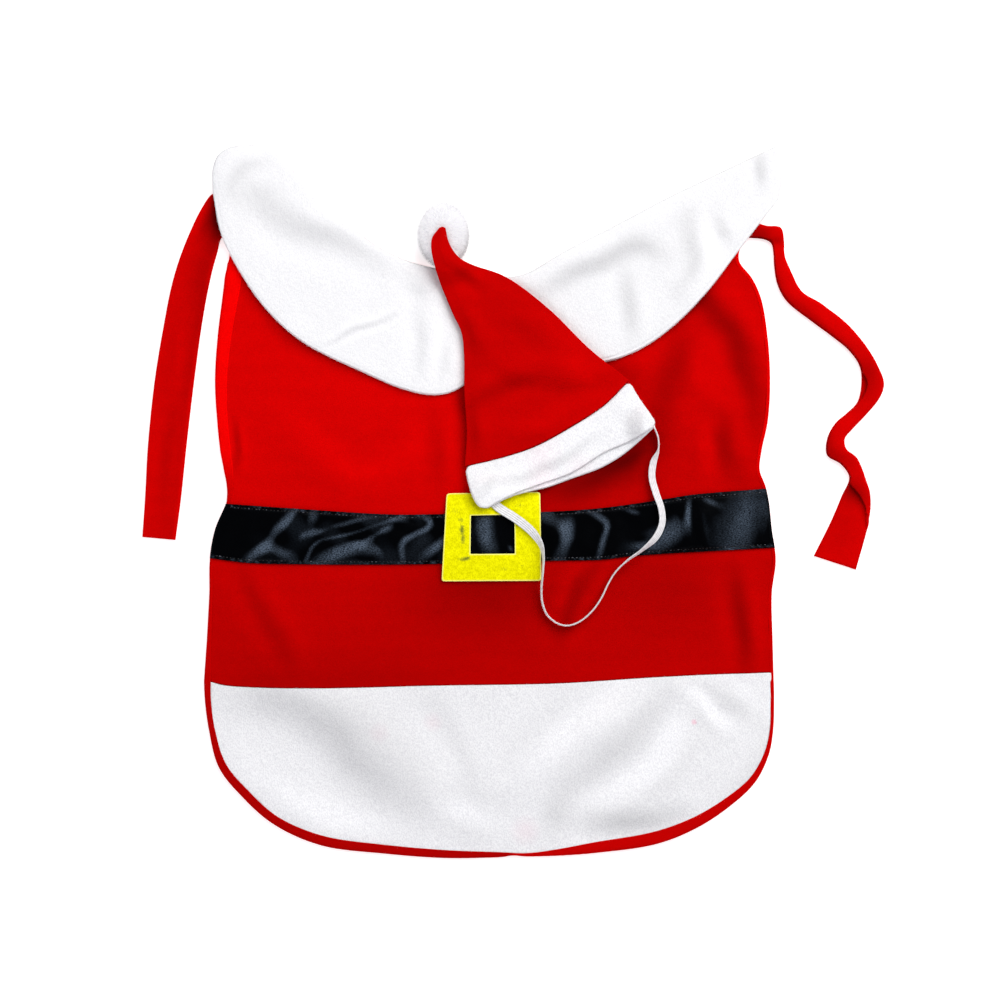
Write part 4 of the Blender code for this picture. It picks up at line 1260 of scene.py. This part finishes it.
def rim_widths(ring):
    """How far the lining reaches past the front at each point of the front's side and hem edges."""
    sections = np.array(CAPE_SECTIONS)[::-1].T
    left = np.interp(ring[:, 1], sections[0], sections[FRONT_LEFT] - sections[LINING_LEFT])
    right = np.interp(ring[:, 1], sections[0], sections[LINING_RIGHT] - sections[FRONT_RIGHT])
    hem = smooth(HEM_EDGE, spread(400))
    near = np.linalg.norm(ring[:, None] - hem[None, :, :2], axis=2).argmin(axis=1)
    sides = np.where(ring[:, 0] < 0, left, right)
    foot = hem[near, 2] - 1.1 * bell(ring[:, 0], half=5.5)
    return np.where(ring[:, 1] < HEM_EDGE[0][1], foot, sides)


class Piece:
    """What the costume's operators share."""

    bl_options = {"REGISTER", "UNDO"}


class COSTUME_OT_lining(Piece, bpy.types.Operator):
    """Lay the lining, whose edge is rolled up round the front"""

    bl_idname = "costume.lining"
    bl_label = "Lining"

    def execute(self, context):
        panel, hem = panel_grid(), hem_grid()
        neck_row, right, left = panel[0], panel[1:, -1], panel[1:, 0][::-1]
        hem_right, foot, hem_left = hem[1:, -1], hem[-1, 1:-1][::-1], hem[1:, 0][::-1]
        ring = np.concatenate([neck_row, right, hem_right, foot, hem_left, left])
        out = outward(ring)
        rim = rim_widths(ring)[:, None]
        rim[: len(neck_row)] = NECK_RIM
        sizes = context.scene.costume_sizes
        wall = np.where(ring[:, 1] < HEM_EDGE[0][1], sizes.hem_wall + 0.2 * MM, sizes.panel_wall) / MM
        uneven = 0.05 * lumps(ring, 9, 11) + 0.04 * lumps(ring, 30, 12)
        layers = []
        for share, inside, height in smooth(RIM_SECTION, spread(24)):
            place = ring + out * (GAP - inside + share * (rim - GAP))
            top = front_height(place) + wall
            layers.append(lifted(place, height * top * (1 + uneven * min(height, 1.0))))
        layers[-1][:, 2] = LINING_WALL
        points = np.concatenate(layers)
        rings = np.arange(len(points)).reshape(len(layers), -1)
        round_section = np.repeat(1.5 * np.arange(len(layers)), len(ring))
        around = np.stack([np.tile(travelled(ring), len(layers)), round_section], axis=1)
        # The tone paints light and shade on the rim: brighter above the belt, most on the left, and darker
        # low on the left.
        above_belt = past(points[:, 1], 20, 6)
        low_left = past(points[:, 1], -120, -12)
        left = 0.75 * above_belt - 0.16 * low_left
        tone = 1.0 + np.where(points[:, 0] < 0, left, 0.05 + 0.38 * above_belt)
        mesh = mesh_of("lining_cloth", points, tube_faces(rings), around, tone)
        piece = finish_piece(mesh, "lining", "lining")
        return {"FINISHED"}


class COSTUME_OT_front(Piece, bpy.types.Operator):
    """Lay the red front panel on the lining"""

    bl_idname = "costume.front"
    bl_label = "Front panel"

    def execute(self, context):
        flat = panel_grid()
        low = lifted(flat, front_height(flat))
        high = raised(low, context.scene.costume_sizes.panel_wall / MM)
        # The tone paints shade on the front: darker below the belt, and to the right above it, with a little
        # random variation; then shade in its hollows and along FRONT_SHADES, by the pieces that lie on it.
        below_belt = past(flat[..., 1], -20, -22)
        to_right = past(flat[..., 0], 40, 30)
        tone = 1.1 - 0.24 * to_right * (1 - below_belt) - 0.34 * below_belt + 0.03 * lumps(flat, 60, 3)
        tone *= painted_fold_shading(flat, FRONT_ROLLS, 1.4) * shaded(flat, FRONT_SHADES)
        mesh = cloth("front_panel_cloth", low, high, tone, bulge=0.3)
        piece = finish_piece(mesh, "fleece", "front_panel")
        return {"FINISHED"}


class COSTUME_OT_hem(Piece, bpy.types.Operator):
    """Lay the white plush band at the hem"""

    bl_idname = "costume.hem"
    bl_label = "Hem band"

    def execute(self, context):
        sizes = context.scene.costume_sizes
        flat = hem_grid()
        low = lifted(flat, front_height(flat))
        tufts = 0.12 * lumps(flat, 2.4, 4) + 0.06 * lumps(flat, 5.0, 5)
        high = heightened(raised(low, sizes.hem_wall / MM), tufts)
        # On a tone that varies at random: painted shade in the band's hollows and along HEM_SHADES.
        tone = 0.99 + 0.015 * lumps(flat, 30, 6)
        tone *= painted_fold_shading(flat, HEM_ROLLS, 0.7) * shaded(flat, HEM_SHADES)
        mesh = cloth("hem_band_cloth", low, high, tone, bulge=0.4)
        piece = finish_piece(mesh, "plush", "hem_band")
        pile = plush_pile(piece, sizes, 21)
        return {"FINISHED"}


class COSTUME_OT_ties(Piece, bpy.types.Operator):
    """Lay the two ties on the table"""

    bl_idname = "costume.ties"
    bl_label = "Ties"

    def execute(self, context):
        sizes = context.scene.costume_sizes
        self.left_tie(sizes.tie_wall / MM)
        self.right_tie(sizes.strap_wall / MM)
        return {"FINISHED"}

    def left_tie(self, wall):
        """The flat strap, two layers turned and pressed."""
        rails = smooth(TIE_LEFT, spread(110, 235, (0.8,)))
        u = spread(16, TIE_WIDTH, (0.8,))[None, :, None]
        flat = (1 - u) * rails[:, None, :2] + u * rails[:, None, 2:]
        relief = rolls(flat, TIE_LEFT_ROLLS) + 0.15 * lumps(flat, 8, 31) + 0.2 * lumps(flat, 26, 32)
        high = lifted(flat, np.clip(wall + 0.6 * relief, 0.6 * wall, None))
        # On a tone that varies at random: painted shade in the tie's hollows and along TIE_LEFT_SHADES.
        tone = 0.98 + 0.03 * lumps(flat, 20, 33)
        tone *= painted_fold_shading(flat, TIE_LEFT_ROLLS, 0.6) * shaded(flat, TIE_LEFT_SHADES)
        # Painted shade that darkens the tie towards its right side and stops short of its right edge, which
        # is left as a painted highlight.
        clear_of_lit_edge = np.clip(((1 - u[..., 0]) * TIE_WIDTH - 2.0) / 1.2, 0.0, 1.0)
        tone *= 1.04 - 0.2 * u[..., 0] * clear_of_lit_edge
        mesh = cloth("tie_left_cloth", lifted(flat, 0.0), high, tone, bulge=0.5)
        piece = finish_piece(mesh, "fleece", "tie_left")

    def right_tie(self, wall):
        """The strap folded over itself, opening out flat at its end."""
        rails = smooth(TIE_RIGHT, spread(150))
        outer = []
        for rail in rails:
            start, end = rail[:2], rail[2:]
            width = np.linalg.norm(end - start)
            section = folded_section(width, wall)
            outer.append(lifted(start + section[:, :1] * (end - start) / width, section[:, 1]))
        outer = np.array(outer)
        normals = unit(np.cross(np.gradient(outer, axis=1), np.gradient(outer, axis=0)))
        if normals[len(outer) // 3, -1, 2] < 0:
            normals = -normals
        swell = 0.18 * lumps(outer[..., :2], 9, 34)[..., None] * normals
        top = outer + swell * (outer[..., 2:] > 1.0)
        top[..., 2] = np.maximum(top[..., 2], 0.0)
        # The tone is painted shade along TIE_RIGHT_SHADES, in the strap's folds and by the pieces next to it,
        # a little brighter elsewhere.
        tone = 1.08 * shaded(outer[..., :2], TIE_RIGHT_SHADES)
        mesh = cloth("tie_right_cloth", outer - wall * normals, top, tone, bulge=0.25)
        piece = finish_piece(mesh, "fleece", "tie_right")


def folded_section(width, wall):
    """Across a strap that is folded lengthwise: distances from its open edge, and heights, of its outside."""
    inner = STRAP_ROUND - wall / 2
    folded_width = STRAP_WIDTH - math.pi * inner + STRAP_ROUND
    turn = math.pi * min(1.0, max(0.05, (STRAP_WIDTH - width) / (STRAP_WIDTH - folded_width)))
    flat = width - STRAP_ROUND * math.sin(min(turn, math.pi / 2))
    flap = max(0.6, min(flat - 0.8, STRAP_WIDTH - flat - turn * inner))
    points = [(flat * t, 0.0) for t in np.linspace(0, 1, 7)[:-1]]
    for angle in np.linspace(0.0, turn, 11):
        points.append((flat + STRAP_ROUND * math.sin(angle), STRAP_ROUND * (1 - math.cos(angle))))
    end, height = points[-1]
    for t in np.linspace(0, 1, 8)[1:]:
        points.append((end + flap * t * math.cos(turn), height + flap * t * math.sin(turn)))
    return np.array(points)


class COSTUME_OT_collar(Piece, bpy.types.Operator):
    """Lay the two halves of the plush collar over the neck"""

    bl_idname = "costume.collar"
    bl_label = "Collar"

    def execute(self, context):
        sizes = context.scene.costume_sizes
        self.lobe("collar_left", COLLAR_LEFT, COLLAR_LEFT_ROLLS, 0.2, 1.045, sizes, 41)
        self.lobe("collar_right", COLLAR_RIGHT, COLLAR_RIGHT_ROLLS, 0.42, 1.01, sizes, 51)
        return {"FINISHED"}

    def lobe(self, name, edges, relief, groove, painted_brightness, sizes, seed):
        """One half of the collar, with a groove this deep where its edge is turned."""
        across = spread(112, 215, (0.7, 1.4, 2.2, 3.0))
        down = spread(54, 80, (0.6, 1.2, 1.8, 2.4, 3.0, 3.8))
        left, right = (smooth(edges[end], down) for end in edges["ends"])
        foot = smooth(edges["outer"], across)
        flat = patch(smooth(edges["neck"], across), foot, left, right, across, down)
        below = ["front_panel_cloth", "lining_cloth", "tie_left_cloth", "tie_right_cloth"]
        low = lifted(flat, Drape(below, flat.reshape(-1, 2), 9, 5)(flat) + GAP)
        sewn = np.concatenate([smooth(edges[part], spread(300)) for part in ("neck", *edges["ends"])])
        from_sewn = distance_to(flat, sewn)
        inside = np.minimum(distance_to(flat, smooth(edges["outer"], spread(300))), from_sewn)
        body = sizes.collar_wall / MM * padded_edge(inside, 3.2, 0.52)
        from_outer = distance_to(flat, smooth(edges["outer"], spread(600)))
        seam = -groove * bell(from_outer, 2.3, 0.65)
        tufts = 0.1 * lumps(flat, 2.2, seed) + 0.07 * lumps(flat, 5.0, seed + 1)
        tufts += 0.3 * lumps(flat, 26, seed + 2)
        folds = rolls(flat, relief) * np.clip(inside / 6.0, 0.25, 1.0)
        high = heightened(low, np.maximum(body + seam + tufts + folds, 1.0))
        # The tone is painted light and shade: each half's own brightness, shade in its hollows and along
        # COLLAR_SHADES, and a thin painted grey line along its sewn edges.
        tone = painted_fold_shading(flat, relief, 0.5) * shaded(flat, COLLAR_SHADES) * painted_brightness
        tone *= 1 - 0.14 * bell(from_sewn, half=0.9)
        mesh = cloth(name + "_cloth", low, high, tone, bulge=0.6)
        piece = finish_piece(mesh, "collar", name)
        pile = plush_pile(piece, sizes, seed + 3)


class COSTUME_OT_belt(Piece, bpy.types.Operator):
    """Lay the satin belt across the front and stitch it down"""

    bl_idname = "costume.belt"
    bl_label = "Belt"

    def execute(self, context):
        sizes = context.scene.costume_sizes
        columns = spread(340)
        down = spread(34, BELT_DEPTH, (0.5, 1.4, 2.2))
        flat = stretch(smooth(BELT_TOP, columns), smooth(BELT_FOOT, columns), columns, down)
        flat[:, 0, 0] -= BELT_OVER_RIM
        flat[:, -1, 0] += BELT_OVER_RIM
        panel = sizes.panel_wall / MM
        base = raised(lifted(flat, front_height(flat)), panel + GAP)
        on_rim = (flat[..., 0] < BELT_ON_RIM[0]) | (flat[..., 0] > BELT_ON_RIM[1])
        base[on_rim, 2] = np.maximum(base[on_rim, 2], SEAM_LIFT + panel + 0.1 + GAP)
        edge = np.minimum(down, 1 - down)[:, None] * BELT_DEPTH
        held = np.clip(edge / 3.0, 0.12, 1.0)
        folds = 0.5 * rolls(flat, BELT_ROLLS) * held + 0.2 * lumps(flat, 7, 61) * held
        relief = settled(0.3 + folds, 0.25) - 0.25 * bell(edge, SEWN_IN, 0.7)
        low = heightened(base, np.maximum(relief, 0.0))
        high = low + (0, 0, sizes.belt_wall / MM)
        mesh = cloth("belt_cloth", low, high, self.painted_sheen(flat, edge), bulge=0.2, turn=3)
        piece = finish_piece(mesh, "satin", "belt")
        for k, place in enumerate((SEWN_IN, BELT_DEPTH - SEWN_IN)):
            row = np.argmin(np.abs(down * BELT_DEPTH - place))
            mesh = stitches(f"belt_stitches_{k}", high[row, 2:-2], sizes.stitch / MM, 62 + k)
            finish_piece(mesh, "thread")
        return {"FINISHED"}

    def painted_sheen(self, flat, edge):
        """Painted sheen of the satin, as a tone: on folds, a little between those at the left, and flecks by
        its edges.
        """
        folds = np.clip(-slope(flat, BELT_ROLLS) / 0.4, 0.0, 1.35) ** 1.5 * (1 + 0.3 * lumps(flat, 4.5, 66))
        faint_sheen_area = np.exp(-(((flat[..., 0] + 92) / 62) ** 4))
        between = 0.15 * np.clip(lumps(flat, 11, 65) + 0.3, 0, 1) * faint_sheen_area
        flecks = 0.8 * np.clip(lumps(flat, 1.4, 64), 0, 1) ** 1.5 * bell(edge, 1.0, 0.9)
        return folds + between + flecks


def rounded(corners, radius, steps=6):
    """The corners of a flat outline, each replaced by a short arc."""
    points = []
    for i, corner in enumerate(corners):
        corner = Vector(corner)
        before = (Vector(corners[i - 1]) - corner).normalized() * radius
        after = (Vector(corners[(i + 1) % len(corners)]) - corner).normalized() * radius
        for k in range(steps + 1):
            t = k / steps
            points.append(tuple(corner + before * (1 - t) ** 2 + after * t**2))
    return np.array(points)


def around_frame(corners, radius, count):
    """Points along each side of a frame's outline, the same number on every side, from its first corner."""
    outline = rounded(corners, radius)
    outline = np.concatenate([outline, outline[:1]])
    per_corner = len(outline) // 4
    sides = []
    for k in range(4):
        part = outline[k * per_corner : (k + 1) * per_corner + 1]
        lengths = travelled(part)
        stations = np.concatenate([lengths[:per_corner], np.linspace(lengths[-2], lengths[-1], count)[1:-1]])
        sides.append(along_line(part, lengths, stations))
    return np.concatenate(sides)


class COSTUME_OT_buckle(Piece, bpy.types.Operator):
    """Lay the felt buckle on the belt"""

    bl_idname = "costume.buckle"
    bl_label = "Buckle"

    def execute(self, context):
        outer = around_frame(BUCKLE_OUTER, BUCKLE_CORNER, 44)
        inner = around_frame(BUCKLE_HOLE, HOLE_CORNER, 44)
        v = spread(16, 17, (0.4,))[:, None, None]
        flat = (1 - v) * outer[None] + v * inner[None]
        lies_on = Drape(["belt_cloth", "front_panel_cloth"], flat.reshape(-1, 2), 3, 5)
        low = lifted(flat, lies_on(flat) + GAP)
        wall = context.scene.costume_sizes.buckle_wall / MM
        high = heightened(low, wall + 0.07 * lumps(flat, 1.6, 71) + 0.12 * lumps(flat, 6, 72))
        tone = np.ones(flat.shape[:2])
        for x, y, wide, tall, strength in STAINS:
            away = ((flat[..., 0] - x) / wide) ** 2 + ((flat[..., 1] - y) / tall) ** 2
            tone -= strength * np.exp(-away)
        tone = np.clip(tone, 0, 1)
        tone[[0, 1, -2, -1]] = 2.0
        mesh = cloth("buckle_felt", low, high, tone, bulge=0.2, turn=3, loop=True)
        piece = finish_piece(mesh, "felt", "buckle")
        return {"FINISHED"}


class COSTUME_OT_pompom(Piece, bpy.types.Operator):
    """Make the pompom under the hat's tip"""

    bl_idname = "costume.pompom"
    bl_label = "Pompom"

    def execute(self, context):
        sizes = context.scene.costume_sizes
        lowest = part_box("pompom")[0][2] / MM
        centre = np.array((*POMPOM_CENTRE, lowest + POMPOM_CORE[2]))
        shape = np.array(POMPOM_CORE) * POMPOM_FULL
        bpy.ops.object.select_all(action="DESELECT")
        bpy.ops.mesh.primitive_ico_sphere_add(subdivisions=5, radius=1.0)
        core = context.object
        points = np.empty(3 * len(core.data.vertices), np.float32)
        core.data.vertices.foreach_get("co", points)
        way = points.reshape(-1, 3)
        uneven = 1.0 + 0.05 * lumps(way[:, :2] * 10 + way[:, 2:] * 7, 3, 81)
        core.data.vertices.foreach_set("co", ((centre + way * shape * uneven[:, None]) * MM).ravel())
        set_tone(core.data, self.tone(way))
        core.name = core.data.name = "pompom_core"
        core.data.shade_smooth()
        placed(core, "plush", "pompom")
        source = np.random.default_rng(82)
        facing = unit(source.normal(0.0, 1.0, (sizes.pompom_fibres, 3)))
        facing = facing[facing[:, 2] > -0.55]
        feet = centre + facing * shape * 0.94
        tops = unit(source.normal(0.0, 1.0, (POMPOM_LOCKS, 3)))
        lock = tops[(facing @ tops.T).argmax(axis=1)]
        way = facing + 0.9 * (lock - facing)
        way[:, 2] *= np.where(way[:, 2] > 0, 0.45, 1.0)
        reach = sizes.pompom_pile / MM
        mesh = fibres("pompom_fibres", feet, unit(way), reach, 0.2, 0.14, 83, self.tone(facing))
        finish_piece(mesh, "fluff")
        return {"FINISHED"}

    def tone(self, facing):
        """Painted shade: greyer round its outline, and most at its foot."""
        edge = 1 - np.clip(facing[:, 2], 0.0, 1.0)
        foot = np.clip(0.2 - facing[:, 1] + 0.3 * facing[:, 0], 0.0, 1.0)
        return 1.0 - edge**4 * 0.22 - edge**2 * 0.34 * foot


class COSTUME_OT_elastic(Piece, bpy.types.Operator):
    """Lay the hat's elastic in its loose loop"""

    bl_idname = "costume.elastic"
    bl_label = "Elastic"

    def execute(self, context):
        sizes = context.scene.costume_sizes
        half, wall = sizes.elastic_width / MM / 2, sizes.elastic_wall / MM
        route = smooth(ELASTIC_ENDS[:1] + ELASTIC + ELASTIC_ENDS[1:], spread(280))
        more = np.linspace(*ELASTIC_MORE_TURN, len(route))[:, None]
        flat, turn = route[:, :2], np.radians(np.minimum(more * route[:, 2:], ELASTIC_STEEPEST))
        along = np.gradient(flat, axis=0)
        across = unit(np.stack([-along[:, 1], along[:, 0]], axis=1))
        below = ["front_panel_cloth", "belt_cloth", "buckle_felt", "hem_band_cloth"]
        lies_on = Drape(below, flat, 4, 4)
        middle = lifted(flat, lies_on(flat) + ELASTIC_CLEAR + half * np.sin(turn[:, 0]))
        wide = np.concatenate([across * np.cos(turn), np.sin(turn)], axis=1)
        face = np.cross(unit(lifted(along, 0.0)), wide)
        face *= np.sign(face[:, 2:] + 1e-9)
        place, height, tone = ribbon_section(half, wall).T[..., None]
        points = middle[:, None] + place * wide[:, None] + height * face[:, None]
        rings = np.arange(points.size // 3).reshape(points.shape[:2])
        around = np.stack(np.broadcast_arrays(place[:, 0], travelled(middle)[:, None]), axis=-1)
        tone = np.broadcast_to(tone[:, 0], rings.shape)
        mesh = mesh_of("elastic_band", points.reshape(-1, 3), tube_faces(rings), around.reshape(-1, 2), tone)
        piece = finish_piece(mesh, "elastic", "elastic")
        path = (middle + wall / 2 * face) * MM
        tuple(path[0])
        [tuple(point) for point in path]
        return {"FINISHED"}


def ribbon_section(half, wall):
    """Across the elastic: place, height and tone, with four ribs above and below, and painted shade in its
    grooves and at its sides.
    """
    top = []
    for place in np.linspace(-0.92, 0.92, 25):
        groove = 0.5 + 0.5 * math.cos(4 * math.pi * (place / 0.92 + 1))
        top.append((place * half, wall - 0.22 * groove, 1.04 - 0.4 * groove**3))
    foot = [(x, wall - height, tone) for x, height, tone in reversed(top)]
    return np.array([(-half, wall / 2, 0.9), *top, (half, wall / 2, 0.9), *foot])


class COSTUME_OT_hat(Piece, bpy.types.Operator):
    """Lay the small hat, pressed flat, over the collar and the buckle"""

    bl_idname = "costume.hat"
    bl_label = "Hat"

    def execute(self, context):
        sizes = context.scene.costume_sizes
        below = [
            "collar_left_cloth",
            "collar_right_cloth",
            "front_panel_cloth",
            "lining_cloth",
            "belt_cloth",
            "buckle_felt",
            "elastic_band",
            "pompom_core",
        ]
        lies_on = Drape(below, np.array(HAT_LEFT + HAT_RIGHT + CUFF_LEFT + CUFF_RIGHT), 5, 6)
        self.halves(lies_on, sizes.hat_wall / MM)
        wall = sizes.cuff_wall / MM
        for name, mouth, depth, height, table, under, seed in (
            ("cuff_back", MOUTH_BACK, 0.032, GAP, (), "hat_back_cloth", 101),
            ("cuff_front", MOUTH_FRONT, 0.03, wall + 2.3 * GAP, CUFF_ROLLS, "cuff_back_cloth", 111),
        ):
            mesh = self.cuff(name, lies_on, mouth, height, table, wall, seed)
            piece = finish_piece(mesh, "plush", name)
            pile = plush_pile(piece, sizes, seed + 3)
        return {"FINISHED"}

    def halves(self, lies_on, wall):
        """The hat's two red halves, one on the other."""
        across, down = spread(56, 100, (0.8,)), spread(84, 160, (0.8,))
        cut = smooth(CUFF_SEAM, across) + np.array(CUFF_SQUARE) * 1.4 * GAP
        left, right = smooth(HAT_LEFT, down), smooth(HAT_RIGHT, down)
        left[-1], right[-1] = cut[0], cut[-1]
        flat = patch(smooth(HAT_TIP, across), cut, left, right, across, down)
        back = lifted(flat, lies_on(flat) + GAP)
        back_top = raised(back, wall)
        mesh = cloth("hat_back_cloth", back, back_top, bulge=0.3)
        piece = finish_piece(mesh, "fleece", "hat_back")
        ring = np.concatenate([smooth(table, spread(300)) for table in (HAT_LEFT, HAT_RIGHT, CUFF_SEAM)])
        inside = np.clip(distance_to(flat, ring) / 8.0, 0.0, 1.0)
        relief = settled((0.8 + rolls(flat, HAT_ROLLS) + 0.4 * lumps(flat, 24, 91)) * inside, 0.2)
        front = heightened(back_top, GAP + relief)
        # The tone paints light and shade on the hat: brighter to the right and near the tip, with a little
        # random variation, and shade in its hollows.
        to_right, near_tip = past(flat[..., 0], 30, 12), past(flat[..., 1], 118, 10)
        tone = 0.83 + 0.15 * to_right + 0.05 * near_tip + 0.03 * lumps(flat, 30, 92)
        tone *= painted_fold_shading(flat, HAT_ROLLS, 0.8)
        mesh = cloth("hat_front_cloth", front, raised(front, wall), tone, bulge=0.35)
        piece = finish_piece(mesh, "fleece", "hat_front")

    def cuff(self, name, lies_on, mouth, height, table, wall, seed):
        """One half of the plush cuff, this far above what it lies on."""
        across, down = spread(96, 135, (0.8, 1.6)), spread(26, 32, (0.7, 1.4))
        seam, foot = smooth(CUFF_SEAM, across), smooth(mouth, across)
        left, right = smooth(CUFF_LEFT, down), smooth(CUFF_RIGHT, down)
        flat = eased(patch(seam, foot, left, right, across, down), 4.5)
        low = lifted(flat, lies_on(flat) + height)
        ring = np.concatenate([flat[0], flat[-1], flat[:, 0], flat[:, -1]])
        inside = distance_to(flat, ring)
        body = wall * padded_edge(inside, 5.0, 0.62)
        tufts = 0.12 * lumps(flat, 2.2, seed) + 0.12 * lumps(flat, 5, seed + 1)
        folds = rolls(flat, table) * np.clip(inside / 5.0, 0.0, 1.0)
        high = heightened(low, np.maximum(body + tufts + folds, 1.0))
        # The tone paints light and shade: the cuff a little brighter overall, and shaded in its hollows.
        return cloth(name + "_cloth", low, high, 1.05 * painted_fold_shading(flat, table, 0.5), bulge=0.6)


class COSTUME_OT_stage(Piece, bpy.types.Operator):
    """Set the floor, the soft light and the camera straight above"""

    bl_idname = "costume.stage"
    bl_label = "Stage"

    def execute(self, context):
        scene = context.scene
        scene.view_settings.view_transform = "Standard"
        self.floor()
        for light in LIGHTS:
            self.light(*light)
        world = bpy.data.worlds.new("studio")
        world.use_nodes = True
        background = world.node_tree.nodes["Background"]
        background.inputs["Color"].default_value = (0.9, 0.92, 1.0, 1.0)
        background.inputs["Strength"].default_value = 0.06
        scene.world = world
        self.camera(scene)
        return {"FINISHED"}

    def floor(self):
        """A white floor that glows a little, so that shadows on it stay soft."""
        bpy.ops.object.select_all(action="DESELECT")
        bpy.ops.mesh.primitive_plane_add(size=30.0, location=(0, 0, -0.0004))
        floor = bpy.context.object
        floor.name = "floor"
        shader = Shader("floor", Specular_IOR_Level=0.0, Emission_Strength=0.55)
        shader.surface.inputs["Emission Color"].default_value = (1.0, 1.0, 1.0, 1.0)
        grain = shader.noise(40.0)
        base = shader.blend(grain, (0.9, 0.9, 0.9, 1.0), (0.92, 0.92, 0.92, 1.0))
        floor.data.materials.append(shader.finish(base, 1.0, grain, 0.01))

    def light(self, name, place, size, power, colour):
        """A square light that faces the costume's middle."""
        data = bpy.data.lights.new(name, "AREA")
        data.shape, data.size, data.energy, data.color = "SQUARE", size, power, colour
        lamp = bpy.data.objects.new(name, data)
        lamp.location = place
        lamp.rotation_euler = (-Vector(place)).to_track_quat("-Z", "Y").to_euler()
        bpy.context.scene.collection.objects.link(lamp)

    def camera(self, scene):
        """A camera straight above, which sees what the photo shows."""
        data = bpy.data.cameras.new("camera")
        data.lens, data.sensor_width = LENS, SENSOR
        camera = bpy.data.objects.new("camera", data)
        height = PHOTO_WIDTH * PIXEL * LENS / SENSOR + PIXEL_HEIGHT
        camera.location = np.array((*PHOTO_CENTRE, height)) * MM
        scene.collection.objects.link(camera)
        scene.camera = camera


CLASSES = (
    CostumeSizes,
    CostumeColours,
    COSTUME_OT_lining,
    COSTUME_OT_front,
    COSTUME_OT_hem,
    COSTUME_OT_ties,
    COSTUME_OT_collar,
    COSTUME_OT_belt,
    COSTUME_OT_buckle,
    COSTUME_OT_pompom,
    COSTUME_OT_elastic,
    COSTUME_OT_hat,
    COSTUME_OT_stage,
)
STEPS = [item.bl_idname for item in CLASSES if issubclass(item, bpy.types.Operator)]


class COSTUME_PT_panel(bpy.types.Panel):
    """Lists the pieces of the costume and their sizes"""

    bl_label = "Pet Santa Costume"
    bl_idname = "COSTUME_PT_panel"
    bl_space_type = "VIEW_3D"
    bl_region_type = "UI"
    bl_category = "Costume"

    def draw(self, context):
        for step in STEPS:
            self.layout.operator(step)
        for group in (context.scene.costume_sizes, context.scene.costume_colours):
            for name in type(group).__annotations__:
                self.layout.prop(group, name)


def register():
    for item in (*CLASSES, COSTUME_PT_panel):
        bpy.utils.register_class(item)
    bpy.types.Scene.costume_sizes = PointerProperty(type=CostumeSizes)
    bpy.types.Scene.costume_colours = PointerProperty(type=CostumeColours)


def unregister():
    del bpy.types.Scene.costume_colours
    del bpy.types.Scene.costume_sizes
    for item in reversed((*CLASSES, COSTUME_PT_panel)):
        bpy.utils.unregister_class(item)


def main():
    register()
    for step in STEPS:
        group, name = step.split(".")
        getattr(getattr(bpy.ops, group), name)()


if __name__ == "__main__":
    main()
